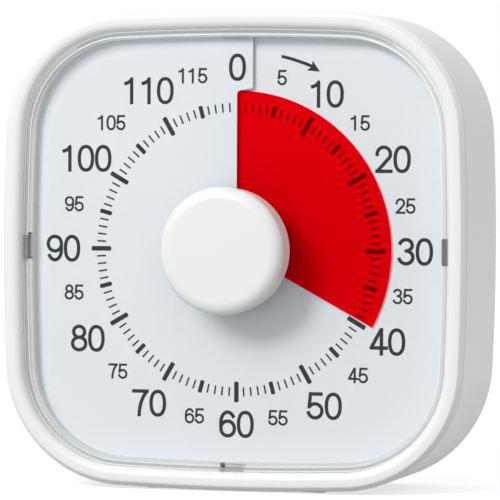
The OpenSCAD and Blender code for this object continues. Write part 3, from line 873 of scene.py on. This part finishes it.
@dataclass
class Workshop:
    """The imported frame, with the finishes and the measures that every sub-assembly uses."""

    frame: dict
    front_y: float  # the front of the case in the frame, in metres
    axis_h: float  # the dial's centre above the resting surface, in metres
    finishes: dict[str, bpy.types.Material]
    outline: Outline = Outline()
    screw: Screw = Screw()

    @classmethod
    def opened(cls) -> "Workshop":
        """Loads the frame and makes the finishes.

        Returns:
            The workshop.
        """
        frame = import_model()
        low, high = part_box("front_bezel")
        finishes = {name: bpy.data.materials.new(name) for name in FINISHES}
        for name, finish in FINISHES.items():
            finish.paint(Graph(finishes[name]))
        return cls(frame, low.y, (low.z + high.z) / 2, finishes)

    def deliver(
        self, piece: Piece, body: str, slots: Sequence[str], node: str = "", placed: bool = False
    ) -> None:
        """Smooths and dresses a piece, hangs it on its body, and hides the CAD node that it
        replaces.

        Args:
            piece: the finished piece.
            body: the body it rides on.
            slots: its finishes, in the order of its material numbers.
            node: the CAD node that it stands for, if it stands for one.
            placed: whether it is in the frame already. If not, it comes from the bench.
        """
        if not placed:
            stand = Matrix(((1, 0, 0, 0), (0, 0, -1, 0), (0, 1, 0, 0), (0, 0, 0, 1)))
            there = Matrix.Translation((0, self.front_y, self.axis_h))
            piece.data.transform(there @ stand @ Matrix.Scale(0.001, 4))
            piece.data.update()
        smoothed(piece)
        numbers = [polygon.material_index for polygon in piece.data.polygons]
        piece.data.materials.clear()
        for slot in slots:
            piece.data.materials.append(self.finishes[slot])
        for polygon, number in zip(piece.data.polygons, numbers):
            polygon.material_index = number
        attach(piece, body)
        if node:
            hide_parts(node)
        LOG.info("%s rides on %s with %d faces", piece.name, body, len(numbers))


@dataclass
class Assembly:
    """A sub-assembly, which is built in the workshop."""

    shop: Workshop


def at_tabs(name: str, low: Sequence[float], high: Sequence[float]) -> list[Piece]:
    """Boxes at the four places of the lens's snap tabs.

    Args:
        name: the start of their names.
        low: lowest corner at the right-hand tab.
        high: highest corner there.

    Returns:
        The boxes.
    """
    boxes = []
    for turn, shift in TAB_PLACES:
        boxes.append(block(f"{name}_{turn}", low, high))
        around = Matrix.Rotation(radians(turn), 4, "Z")
        boxes[-1].data.transform(around @ Matrix.Translation((0, shift, 0)))
    return boxes


# ---- Front ----


@dataclass
class FrontFrame(Assembly):
    """The white front frame with its floor, posts and screw bosses, in one moulding."""

    seam_z: float = -2.8  # level of its lower edge
    ledge_z: float = -6.8  # level of the ledge that the lens stands on
    floor_z: Point = (-16.8, -18.8)  # front and back of the floor behind the dial
    wall: float = 7.3  # inset of the wall round the lens
    window: float = 10.7  # inset of the opening that shows the dial
    hub_r: float = 5.1  # radius of the hole for the bush
    post_r: float = 2  # radius of the posts under the dial
    boss_end: float = -38  # level of the screw bosses' ends
    post_gap: float = 0.32  # how far under the dial sheet's middle the posts end
    slot_low: Triple = (84.4, -5.2, -11.5)  # lowest corner of the opening for the right-hand tab
    slot_high: Triple = (87.7, 5.2, -5.8)  # its highest corner
    lid: float = 0.6  # what closes the openings at the top and the bottom in front
    lid_gap: float = 2  # how far the lid at the bottom is open, from its left end

    def build(self) -> None:
        """Models the frame and fits it."""
        ring, seam, ledge = self.shop.outline.ring, self.seam_z, self.ledge_z
        over = [
            (0.5, seam + 0.1), (0.04, seam + 0.35), (0.0, seam + 0.45), (0.12, -2.2), (1.48, -0.5),
            *bend((1.6, -0.35), (1.9, 0), (3.5, 0), 8), (3.9, 0),
            *arc((4.3, -2.8), (3.0, 2.8), 90, 0, 14), (self.wall, -5.8), (self.wall, ledge + 0.3),
            (self.wall + 0.3, ledge), (self.window - 0.2, ledge), (self.window, ledge - 0.2),
            (self.window, self.floor_z[0]),
        ]
        behind = [
            (8.7, self.floor_z[1]), (8.7, -8.8), (6.0, -8.8), (6.0, -2.6), (4.25, -2.6),
            (4.25, -7.8), (2.35, -7.8), (2.35, seam + 0.1),
        ]
        rings = [ring(*line) for line in over]
        rings += [self.shop.outline.hole(self.hub_r, z) for z in self.floor_z]
        rings += [ring(*line) for line in behind]
        frame = loft("front_frame", rings, looped=True)
        combine(frame, [self.posts()], Join.ADD)
        windows = at_tabs("window", self.slot_low, self.slot_high)
        for window in windows[1::2]:
            for vert in window.data.vertices:
                vert.co.z = min(vert.co.z, ledge - self.lid)
        (near, left, low), (far, _, high) = self.slot_low, self.slot_high
        windows.append(block("gap", (left, -far, low), (left + self.lid_gap, -near, high)))
        combine(frame, windows, Join.CUT)
        self.shop.deliver(frame, "case", ["case_plastic"], "front_bezel")

    def posts(self) -> Piece:
        """The posts that carry the dial, and the bosses that take the screws.

        Returns:
            All of them as one piece.
        """
        floor, end, screw = self.floor_z[0] - 1, self.boss_end, self.shop.screw
        places = [(72, 15 + 30 * i) for i in range(12)] + [(94, 45 + 90 * i) for i in range(4)]
        pieces = []
        for radius, turn in places:
            x, y, top = screw.point(radius, turn, screw.sheet_z - self.post_gap)
            pieces.append(rod("post", self.post_r, floor, top, (x, y), 24))
        levels = [(1.25, floor), (1.25, end), (4.2, end), (4.5, end + 0.3), (4.5, floor)]
        for place in SCREW_PLACES:
            rings = [circle_ring(radius, z, 32, place) for radius, z in levels]
            pieces.append(loft("boss", rings, looped=True))
        return joined("posts", pieces)


@dataclass
class Lens(Assembly):
    """The clear cover with its bevelled edge, rim, snap tabs and hole for the knob."""

    inset: float = 7.45  # of its edge
    front_z: float = -3.3  # level of its face
    thick: float = 2
    rim_end: float = -6.78  # level of its rim's edge
    bevel: Point = (2.4, 1.0)  # width and depth of the bevel round its face
    rim: float = 1.2  # thickness of its rim
    hole_r: float = 7.1  # radius of the hole for the knob's stem
    tab_in: float = 9.3  # inset of its tabs
    tab_half: float = 4.8  # half the width of a tab
    tab_end: float = -10.5  # level of the tabs' ends
    nub_top: float = -9.4  # level of the top of their nubs

    def build(self) -> None:
        """Models the cover and fits it."""
        ring, hole = self.shop.outline.ring, self.shop.outline.hole
        edge, front, end, hole_r = self.inset, self.front_z, self.rim_end, self.hole_r
        back, shoulder = front - self.thick, front - self.bevel[1]
        highlight_inset, rim = edge + self.bevel[0], edge + self.rim
        outside = [
            (edge + 0.1, end), (edge, end + 0.1), (edge, shoulder - 0.25),
            (edge + 0.07, shoulder - 0.07), (edge + 0.2, shoulder), (edge + 0.55, shoulder + 0.1),
            (highlight_inset - 0.3, front - 0.18), (highlight_inset - 0.1, front - 0.1),
            (highlight_inset + 0.1, front - 0.02), (highlight_inset + 0.35, front),
        ]
        bore = [(0.15, front), (0, front - 0.15), (0, back + 0.15), (0.15, back)]
        inside = [(rim + 0.3, back), (rim, back - 0.3), (rim, end)]
        rings = [ring(*line) for line in outside]
        rings += [hole(hole_r + more, z) for more, z in bore]
        rings += [ring(*line) for line in inside]
        lens = loft("lens", rings, looped=True)
        far, half = self.shop.outline.half_width - self.tab_in, self.tab_half
        tabs = at_tabs("tab", (far - 1.2, -half, self.tab_end), (far, half, back + 0.5))
        tabs += at_tabs("nub", (far - 2, -half, self.tab_end), (far - 0.02, half, self.nub_top))
        combine(lens, tabs, Join.ADD)
        # the edge, bevel, shoulder and tab faces take the painted highlight finishes
        for polygon in lens.data.polygons:
            polygon.material_index = self.finish_at(polygon.center, highlight_inset)
        slots = ["clear_lens", "lens_edge", "lens_bevel", "lens_shoulder"]
        self.shop.deliver(lens, "case", slots, "lens_cover")

    def finish_at(self, place: Vector, highlight_inset: float) -> int:
        """Which finish a face of the cover takes.

        Args:
            place: the face's centre.
            highlight_inset: inset of the painted highlight line between the bevel and the face.

        Returns:
            3 on the outer shoulder, 1 along the bevel's top and on the tabs, 2 on the bevel, all
            three with a painted glow that stands in for highlights, and 0 elsewhere, also over the
            windows beside the tabs.
        """
        turn = degrees(atan2(place.x, place.y))
        radius = hypot(place.x, place.y)
        insets = self.inset + 0.5, highlight_inset - 0.32, highlight_inset + 0.12
        shoulder, low, high = (self.shop.outline.reach(turn, inset) for inset in insets)
        if place.z < self.front_z - self.bevel[1] - 0.3:
            return 1 if place.z < self.rim_end and place.y < 80 else 0
        if min(abs(place.x), abs(place.y)) < 1 and place.y < 80:
            return 0
        if radius > shoulder:
            return 3
        if high < radius < low:
            return 1
        return 2 if radius > low else 0


# ---- Dial ----

NUMBER_PLACES: dict[int, Point] = {
    0: (0.1, 72.4), 5: (18.0, 68.3), 10: (36.3, 61.8), 15: (49.9, 50.4),
    20: (63.3, 36.2), 25: (68.5, 17.9), 30: (72.5, 0.0), 35: (67.6, -17.6),
    40: (61.6, -35.5), 45: (49.8, -48.9), 50: (36.1, -61.3), 55: (17.2, -66.4),
    60: (0.1, -69.3), 65: (-17.3, -66.4), 70: (-36.3, -61.7), 75: (-49.4, -49.2),
    80: (-62.2, -36.2), 85: (-68.0, -17.7), 90: (-72.6, -0.1), 95: (-68.0, 17.8),
    100: (-62.9, 36.1), 105: (-52.4, 50.4), 110: (-36.9, 63.2), 115: (-18.4, 69.1),
}


@dataclass
class Digits:
    """Rounded numerals of one size."""

    height: float
    weight: float  # width of the stroke, like the rest as a share of the height
    width: float = 0.645  # of a digit
    advance: float = 0.672  # from digit to digit
    tuck: float = 0.045  # how much closer a nought stands to a one before it
    waist: float = 0.03  # how far the middle of a 3 or an 8 lies above the digit's own

    def strokes(self) -> dict[str, list[tuple[list[Point], Tips | None]]]:
        """The strokes of each digit round its middle, as shares of its height.

        Returns:
            Each stroke's path and its tips, or None for a loop.
        """
        up, side = (1 - self.weight) / 2, (self.width - self.weight) / 2
        high, low = (up - self.waist) / 2, (up + self.waist) / 2
        bar, opened = (Tip.SQUARE, Tip.SQUARE), (Tip.SQUARE, Tip.ROUND)
        closed = (Tip.ROUND, Tip.SQUARE)
        tail = arc((0, 0.06), (side, up - 0.06), 36, 180, 16) + [(-side, -0.165)]
        six = [(oval(-0.165, (side, up - 0.165), 2.05), None), (tail, opened)]
        neck = arc((-0.01, up - 0.25), (side - 0.01, 0.25), 182, -28, 22) + [(-side + 0.01, -up)]
        flag = [(-0.225, up - 0.165), (-0.13, up - 0.135), (-0.05, up - 0.075), (0, up)]
        left, level = -side - 0.02, -0.225
        return {
            "0": [(oval(0, (side, up), 2.3), None)],
            "1": [([(0, up), (0, -up)], closed), (flag, opened)],
            "2": [(neck, opened), ([(-side, -up), (side, -up)], bar)],
            "3": [
                (arc((-0.01, up - high), (side - 0.025, high), 158, -90, 20), opened),
                (arc((-0.01, low - up), (side, low), 90, -162, 20), closed),
            ],
            "4": [
                ([(0.085, up), (left, level)], ROUND_TIPS),
                ([(left, level), (side + 0.03, level)], closed),
                ([(0.105, up), (0.105, -up)], bar),
            ],
            "5": [
                ([(-0.235, -0.045), (-0.185, up)], ROUND_TIPS), ([(-0.185, up), (0.21, up)], bar),
                (arc((-0.01, 0.255 - up), (side, 0.255), 140, -162, 24), closed),
            ],
            "6": six,
            "7": [
                ([(-side, up), (side, up)], bar),
                (bend((side, up), (-0.03, 0.1), (-0.045, -up), 12), closed),
            ],
            "8": [
                (oval(self.waist + high, (side - 0.045, high), 2.05), None),
                (oval(low - up, (side, low), 2.05), None),
            ],
            "9": [([(-x, -y) for x, y in path], tips) for path, tips in six],
        }

    def write(self, numbers: dict[str, Point]) -> list[Piece]:
        """Models each digit once, and copies the digits of every number to their places.

        Args:
            numbers: the middle of each number.

        Returns:
            The digits, one millimetre thick round the level 0.
        """
        models = {}
        for digit, strokes in self.strokes().items():
            parts = []
            for path, tips in strokes:
                path = [(x * self.height, y * self.height) for x, y in path]
                parts.append(stroke("stroke", path, self.weight * self.height, tips))
            models[digit] = combine(parts[0], parts[1:], Join.ADD)
        digits = []
        for text, (x, y) in numbers.items():
            pairs = zip(text, text[1:])
            steps = [(self.advance - self.tuck * (p == ("1", "0"))) * self.height for p in pairs]
            x -= sum(steps) / 2
            for i, digit in enumerate(text):
                at = Matrix.Translation((x + sum(steps[:i]), y, 0))
                digits.append(copied(models[digit], "digit", at))
        for model in models.values():
            bpy.data.objects.remove(model)
        return digits


@dataclass
class Dial(Assembly):
    """The dial sheet, split along a slit, with its printed marks, numbers and arrow."""

    inset: float = 10.68  # of its edge
    thick: float = 0.6
    hole_r: float = 8.8
    step_y: Point = (63.3, 63.9)  # how far up the slit steps aside, at the step's two ends
    step_x: float = 6.5  # how far it steps aside
    bend_r: Point = (1.7, 0.9)  # radii of the slit's two bends
    overlap: float = 0.7  # how far the sheet's start runs under its end along the slit
    steps: int = 240
    mark_r: float = 56.5  # radius at which the minute marks lie
    ink: float = 0.03  # how far the print lies under and over the sheet's face

    def slit(self) -> list[tuple[Vector, Vector]]:
        """The two lips of the slit.

        Returns:
            Pairs of points on the lower and the upper lip, from the hole outwards.
        """
        (first, second), (low, high), x = self.bend_r, self.step_y, self.step_x
        path = [(0.0, self.hole_r), (0.0, 30.0), (0.0, 50.0)]
        path += arc((first, low - first), (first, first), 180, 90, 6)
        path += arc((x - second, high + second), (second, second), 270, 360, 6)
        path += [(x, high + 12), (x, self.shop.outline.reach(4, self.inset))]
        points = [Vector((*point, 0)) for point in path]
        lips = []
        for i, point in enumerate(points):
            along = points[min(i + 1, len(points) - 1)] - points[max(i - 1, 0)]
            aside = Vector((-along.y, along.x, 0)).normalized()
            lips.append((point + aside * self.overlap, point + aside * 0.05))
        return lips

    def turn_at(self, x: float, y: float) -> float:
        """Clock angle of a place on the sheet, which runs past 360 beside the slit."""
        turn = degrees(atan2(x, y))
        return turn + 360 * (turn < 0 or (y > self.step_y[1] and x < self.step_x))

    def build(self) -> None:
        """Models the sheet and its print, and fits them."""
        lips, screw = self.slit(), self.shop.screw

        def place(column: int, row: int) -> Vector:
            """Where a vertex lies, on a row that runs from lip to lip.

            Args:
                column: how many steps it is from the lower lip.
                row: number of its row, from the hole outwards.

            Returns:
                The place.
            """
            near, far = lips[row]
            share = column / self.steps
            start = degrees(atan2(near.x, near.y))
            end = 360 + degrees(atan2(far.x, far.y))
            turn = start + (end - start) * share
            radius = near.length + (far.length - near.length) * share
            if row == len(lips) - 1:
                radius = self.shop.outline.reach(turn, self.inset)
            return screw.point(radius, turn, screw.sheet_z)

        plate = sheet("dial_sheet", self.steps, len(lips) - 1, place)
        modified(plate, "SOLIDIFY", thickness=self.thick, offset=0)
        self.shop.deliver(plate, "case", ["dial_plastic"], "dial_plate")
        self.print_on(self.marks(), "minute_marks")
        self.print_on(self.numbers(), "dial_numbers")
        self.print_on(self.arrow(), "turn_arrow")

    def print_on(self, pieces: list[Piece], name: str) -> None:
        """Lays flat slabs on the sheet as one layer of ink, and fits it.

        Args:
            pieces: slabs round the level 0.
            name: the layer's name.
        """
        layer, screw = joined(name, pieces), self.shop.screw
        base = screw.sheet_z + self.thick / 2
        for vert in layer.data.vertices:
            x, y, z = vert.co
            climb = screw.rise * self.turn_at(x, y) / 360
            vert.co.z = base + climb + copysign(self.ink, z)
        self.shop.deliver(layer, "case", ["dial_print"])

    def marks(self) -> list[Piece]:
        """The 119 marks between the zero and itself, longer at every fifth minute.

        Returns:
            The marks.
        """
        sizes = {1: (1.5, 0.66), 5: (1.7, 1.7), 10: (3.2, 1.85)}
        models = {
            kind: stroke("mark", [(0, -half), (0, half)], width, SOFT_TIPS)
            for kind, (half, width) in sizes.items()
        }
        marks = []
        for minute in range(1, 120):
            kind = 10 if minute % 10 == 0 else 5 if minute % 5 == 0 else 1
            around = Matrix.Rotation(-radians(3 * minute), 4, "Z")
            away = Matrix.Translation((0, self.mark_r, 0))
            marks.append(copied(models[kind], "mark", around @ away))
        for model in models.values():
            bpy.data.objects.remove(model)
        return marks

    def numbers(self) -> list[Piece]:
        """The numbers of minutes, large at every tenth and small between them.

        Returns:
            Their digits.
        """
        pieces = []
        for digits, first in ((Digits(10.85, 0.13), 0), (Digits(6.15, 0.142), 5)):
            pieces += digits.write({str(m): NUMBER_PLACES[m] for m in range(first, 120, 10)})
        return pieces

    def arrow(self) -> list[Piece]:
        """The curved arrow that shows which way the knob turns.

        Returns:
            The arrow, as the only piece.
        """
        path = [(y, x) for x, y in arc((0, 0), (78.75, 78.75), 13.4, 22.6, 10)]
        shaft = stroke("shaft", path, 1.25, (Tip.SOFT, Tip.ROUND))
        corners = ((25.3, 78.1), (22.0, 81.0), (22.6, 78.6), (21.4, 76.4))
        flat = [Screw(rise=0).point(radius, turn, 0).xy for turn, radius in corners]
        return [combine(shaft, [prism("head", flat, -0.5, 0.5)], Join.ADD)]


@dataclass
class RedFilm(Assembly):
    """The red see-through disc, one whole turn of the screw surface."""

    set_turn: float = 118.8  # clock angle of its front end at rest
    radii: tuple[float, ...] = (8.01, 25, 45, 63.15)  # from its hole to its edge
    thick: float = 0.4
    gap: float = 0.4  # angle that is missing from a whole turn at each end
    steps: int = 240

    def build(self) -> None:
        """Models the disc and fits it."""
        screw, whole = self.shop.screw, 360 - 2 * self.gap

        def place(column: int, row: int) -> Vector:
            """Where a vertex lies."""
            turn = self.set_turn - self.gap - whole * (1 - column / self.steps)
            return screw.point(self.radii[row], turn, screw.disc_z)

        film = sheet("red_film", self.steps, len(self.radii) - 1, place)
        modified(film, "SOLIDIFY", thickness=self.thick, offset=0)
        # the cut edges take the pink painted highlight
        for polygon in film.data.polygons:
            polygon.material_index = int(abs(polygon.normal.z) < 0.7)
        self.shop.deliver(film, "disc", ["disc_film", "film_edge"], "red_disc")


# ---- Knob ----


@dataclass
class Knob(Assembly):
    """The round knob, a cap on a stem with a bore for the spindle's flat."""

    radius: float = 25.1
    front_z: float = 14.9  # level of the middle of its front
    base_z: float = -0.8  # level of its rim's edge
    stem_z: float = -6.5  # level of its stem's end
    edge_r: Point = (5.0, 4.4)  # how far its front edge is rounded, across and down
    crown: float = 0.25  # how far the middle of its front stands proud
    skin: float = 2.6  # its wall
    stem_r: float = 6.4
    bore_r: float = 2.52
    flat: float = 2.02  # distance of the bore's flat from the axis
    count: int = 160  # steps round it

    def bore(self, z: float) -> Ring:
        """The bore's section at a level."""
        ring = circle_ring(self.bore_r, z, self.count)
        return [Vector((min(point.x, self.flat), point.y, z)) for point in ring]

    def build(self) -> None:
        """Models the knob and fits it."""
        r, skin, front, base, stem = self.radius, self.skin, self.front_z, self.base_z, self.stem_r
        across, down = self.edge_r
        shoulder = front - self.crown - down
        ceiling = front - skin - self.crown
        section = [
            (stem - 0.3, self.stem_z), (stem, self.stem_z + 0.3), (stem, ceiling),
            (r - across, ceiling), (r - skin, shoulder - 1), (r - skin, base), (r - 1.0, base),
            *arc((r - 1.0, base + 0.5), (0.5, 0.5), -60, 0, 4), (r - 0.25, shoulder * 0.5),
            *arc((r - across, shoulder), self.edge_r, 0, 90, 20),
            (r * 0.6, front - self.crown * 0.55), (r / 3, front - self.crown * 0.2),
            (r / 8, front),
        ]
        rings = [self.bore(front - 6), self.bore(self.stem_z)]
        rings += [circle_ring(radius, z, self.count) for radius, z in section]
        self.shop.deliver(loft("knob_cap", rings), "knob", ["knob_plastic"], "knob")


# ---- Back and inside ----


@dataclass
class RearShell(Assembly):
    """The rear half of the case, with the battery bay and the openings of its back."""

    rim_z: float = -3.3  # level of its front rim
    back_z: float = -60  # level of its back
    wall: float = 2.2
    edge_r: float = 2.5  # radius of its back edge
    bay: Point = (0, -53)  # centre of the battery bay
    bay_floor: float = -41  # level of the bay's floor
    door: Point = (66.7, 24.7)  # width and height of the battery door's recess
    sounder: Point = (-52, 8)  # centre of the sound holes
    switch: Point = (46, -8)  # centre of the volume switch
    board: Sequence[Point] = ((40, 18), (70, 40))  # posts under the circuit board

    def build(self) -> None:
        """Models the shell and fits it."""
        wall, rim, back, r = self.wall, self.rim_z, self.back_z, self.edge_r
        floor = back + wall
        lines = [
            (wall + 0.4, floor), (wall, floor + 0.4), (wall, rim), (0.4, rim), (0.1, rim - 0.15),
            (0.0, rim - 0.4), (0.0, rim - 1.2), (0.0, back + r + 0.8),
            *arc((r, back + r), (r, r), 180, 270, 8), (r + 0.6, back),
        ]
        shell = loft("rear_shell", [self.shop.outline.ring(*line) for line in lines])
        combine(shell, self.inner_forms(), Join.ADD)
        combine(shell, self.openings(), Join.CUT)
        self.shop.deliver(shell, "case", ["case_plastic"], "rear_case")

    @staticmethod
    def rods(radius: float, low: float, high: float, places: Sequence[Point], count: int) -> Piece:
        """Equal upright cylinders at several places, as one piece."""
        return joined("rods", [rod("rod", radius, low, high, at, count) for at in places])

    def inner_forms(self) -> list[Piece]:
        """The bay's walls, the screw posts, the sounder's collar and the switch's ribs.

        Returns:
            The pieces to add.
        """
        floor, (x, y) = self.back_z + self.wall, self.switch
        root = floor - 1
        collar = rod("collar", 15.5, root, floor + 3.5, self.sounder, 64)
        combine(collar, [rod("inside", 13.7, floor, floor + 9, self.sounder, 64)], Join.CUT)
        ribs = [
            block("rib", (x + a - 0.8, y - 3.5, root), (x + a + 0.8, y + 3.5, floor + 6))
            for a in (-8.6, 8.6)
        ]
        frame, walls = rounded(self.bay, (73, 29), 3), rounded(self.bay, (63.2, 23.2), 2)
        return [
            prism("bay_frame", frame, self.back_z + 0.5, self.back_z + 3.8),
            prism("bay_walls", walls, self.back_z + 2.8, self.bay_floor + 1.6),
            self.rods(5.5, root, -38.1, SCREW_PLACES, 32),
            self.rods(2.6, root, -46, self.board, 24), joined("forms", [collar, *ribs]),
        ]

    def openings(self) -> list[Piece]:
        """The battery bay and every hole through the back.

        Returns:
            The pieces to cut out.
        """
        back, bay, (x, y), (wide, high) = self.back_z, self.bay, self.bay, self.door
        out, deep = back - 1, back + self.wall + 1
        hinge = rod("hinge", 0.66, -35.5, 35.5, count=16)
        turned = Matrix.Rotation(radians(90), 4, "Y")
        hinge.data.transform(Matrix.Translation((x, y - 11.1, back + 0.9)) @ turned)
        holes = [self.sounder]
        for ring in (1, 2):
            holes += arc(self.sounder, (4.2 * ring, 4.2 * ring), 0, 360, 6 * ring)[:-1]
        keyhole = [*arc((0, 64), (2.2, 2.2), 0, 180, 12), (-2.2, 56), (2.2, 56)]
        return [
            prism("recess", rounded(bay, self.door, 2), out, back + 1.9),
            block("lip", (x - wide / 2, y - high / 2, out), (x + wide / 2, y - 5, back + 1.9)),
            prism("bay", rounded(bay, (60, 20), 1), back, self.bay_floor),
            block("latch_notch", (x - 5, y + 9, back + 1.3), (x + 5, y + 11.8, back + 3.2)), hinge,
            self.rods(3.6, out, -42, SCREW_PLACES, 32), self.rods(1.7, -43, -37, SCREW_PLACES, 32),
            rod("head", 4.5, out, deep, (0, 56), 40), prism("keyhole", keyhole, out, deep),
            self.rods(1.1, out, deep, holes, 20), self.rods(0.9, deep + 1, -45, self.board, 24),
            prism("pocket", rounded(self.switch, (17, 10), 3), out, back + 1.2),
            prism("travel", rounded(self.switch, (11, 5), 1), out, deep),
        ]


@dataclass
class BackFittings(Assembly):
    """What is fitted to the outside of the rear case."""

    door_top: float = -41  # upper edge of the battery door
    back_z: float = -60  # level of the case's back

    def build(self) -> None:
        """Refines the outer pieces, adds their grips and fits them."""
        for node, name, body, slot, bevel in (
            ("foot_pad_left", "foot_left", "case", "pad_rubber", 0.35),
            ("foot_pad_right", "foot_right", "case", "pad_rubber", 0.35),
            ("case_screws", "rear_screws", "case", "steel", 0.12),
            ("battery_door", "door_panel", "battery_door", "case_plastic", 0.1),
            ("volume_slider", "slider_cap", "volume_slider", "slider_plastic", 0.15),
        ):
            piece = copied(self.shop.frame["nodes"][node], name, Matrix.Identity(4))
            start_edit(piece)
            bpy.ops.mesh.select_all(action="SELECT")
            bpy.ops.mesh.remove_doubles(threshold=MERGE_M)
            bpy.ops.object.mode_set(mode="OBJECT")
            settings = {"width": bevel / 1000, "segments": 2, "angle_limit": radians(40)}
            modified(smoothed(piece), "BEVEL", **settings)
            self.shop.deliver(piece, body, [slot], node, placed=True)
        self.grips()

    def grips(self) -> None:
        """Adds the ridges for a fingertip to the door."""
        ridges = []
        for i in range(4):
            y = self.door_top - 10.4 - 1.7 * i
            path = [(-7.0 + i * 0.6, y), (7.0 - i * 0.6, y)]
            ridges.append(stroke("ridge", path, 0.7, ROUND_TIPS))
        door = joined("door_ridges", ridges)
        door.data.transform(Matrix.Translation((0, 0, self.back_z + 0.35)))
        modified(door, "BEVEL", width=0.15, segments=2)
        self.shop.deliver(door, "battery_door", ["case_plastic"])


@dataclass
class Movement(Assembly):
    """Everything inside the case, kept as the frame has it and given its finish."""

    def build(self) -> None:
        """Gives every CAD node that is shown the finish of its slot."""
        parts = self.shop.frame["record"]["subparts"]
        slots = {part["node"]: part["material_slot"] for part in parts}
        for name, node in self.shop.frame["nodes"].items():
            if not node.hide_render:
                node.data.materials.clear()
                node.data.materials.append(self.shop.finishes[slots[name]])
                LOG.info("%s keeps its CAD shape, in %s", name, slots[name])


# ---- Floor, lamp and camera ----


@dataclass
class Studio(Assembly):
    """The pale floor, the white surround, the soft lamp and the camera."""

    ambient: float = 0.71  # strength of the light from all round
    floor_tone: Colour = (0.46, 0.46, 0.46)
    floor_glow: float = 0.7  # what the floor adds where it is seen, to show white
    floor_r: float = 6
    lamp_way: Triple = (-0.47, -1.0, 0.68)  # direction from the dial to the lamp
    lamp_far: float = 4
    lamp_size: float = 1.8
    lamp_power: float = 104
    yaw: float = 15.90  # how far to the right of the dial the camera stands, in degrees
    pitch: float = 1.31  # how far it looks down
    roll: float = 0.28  # how far it is tilted
    distance: float = 24.70 * UNIT
    sensor: float = 36  # its width, in millimetres
    zoom: float = 3513.6 / 500  # focal length as a share of that width
    aside: Point = (0.091 * UNIT, -0.001 * UNIT)  # how far it is moved across and up
    dial_depth: float = 0.0113  # how far the dial lies behind the front of the case

    def build(self) -> None:
        """Sets up the floor, the world, the lamp and the camera."""
        self.floor()
        self.world()
        centre = Vector((0, self.shop.front_y + self.dial_depth, self.shop.axis_h))
        self.lamp(centre)
        self.camera(centre)

    def floor(self) -> None:
        """A pale floor that shows white and keeps the object's shadow."""
        deselect()
        bpy.ops.mesh.primitive_circle_add(vertices=64, radius=self.floor_r, fill_type="NGON")
        floor = named("floor")
        material = bpy.data.materials.new("pale_floor")
        graph = Graph(material)
        matt = graph.node("BsdfDiffuse", {"Color": self.floor_tone})
        glow = graph.node("Emission", {"Strength": graph.seen() * self.floor_glow})
        graph.show(graph.node("AddShader", {0: matt, 1: glow}))
        floor.data.materials.append(material)
        floor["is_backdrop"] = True

    def world(self) -> None:
        """A white surround that lights the object softly from all round."""
        world = bpy.context.scene.world = bpy.data.worlds.new("surround")
        graph = Graph(world)
        strength = graph.seen() * (1 - self.ambient) + self.ambient
        shader = graph.node("Background", {"Color": (1, 1, 1), "Strength": strength})
        graph.show(shader, "OutputWorld")

    def lamp(self, centre: Vector) -> None:
        """Adds a soft round lamp above the left of the reader.

        Args:
            centre: the dial's centre in the frame, which it lights.
        """
        light = bpy.data.lights.new("key", "AREA")
        light.shape, light.size, light.energy = "DISK", self.lamp_size, self.lamp_power
        lamp = bpy.data.objects.new("key", light)
        bpy.context.scene.collection.objects.link(lamp)
        way = Vector(self.lamp_way)
        lamp.location = centre + way.normalized() * self.lamp_far
        lamp.rotation_euler = (-way).to_track_quat("-Z", "Y").to_euler()

    def camera(self, centre: Vector) -> None:
        """Adds the camera and makes it the scene's own.

        Args:
            centre: the dial's centre in the frame.
        """
        yaw, pitch, roll = (radians(a) for a in (self.yaw, self.pitch, self.roll))
        level = Vector((cos(yaw), sin(yaw), 0))
        ahead = Vector((-sin(yaw) * cos(pitch), cos(yaw) * cos(pitch), -sin(pitch)))
        upright = level.cross(ahead)
        right = level * cos(roll) + upright * sin(roll)
        up = upright * cos(roll) - level * sin(roll)
        data = bpy.data.cameras.new("camera")
        data.sensor_width, data.clip_end = self.sensor, 50
        data.lens = self.zoom * self.sensor
        camera = bpy.data.objects.new("camera", data)
        bpy.context.scene.collection.objects.link(camera)
        turn = Matrix((right, up, -ahead)).transposed().to_4x4()
        spot = centre - ahead * self.distance + right * self.aside[0] + up * self.aside[1]
        camera.matrix_world = Matrix.Translation(spot) @ turn
        bpy.context.scene.camera = camera


def corners() -> list[list[float]]:
    """The whole object's box, as plain numbers."""
    return [list(corner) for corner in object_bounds()]


def main() -> None:
    """Builds every sub-assembly round the frame."""
    logging.basicConfig(level=logging.INFO, format="%(name)s: %(message)s")
    shop = Workshop.opened()
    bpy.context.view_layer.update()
    bpy.context.scene.view_settings.view_transform = "Standard"
    for assembly in (
        FrontFrame, Lens, Dial, RedFilm, Knob, RearShell, BackFittings, Movement, Studio
    ):
        assembly(shop).build()


if __name__ == "__main__":
    main()
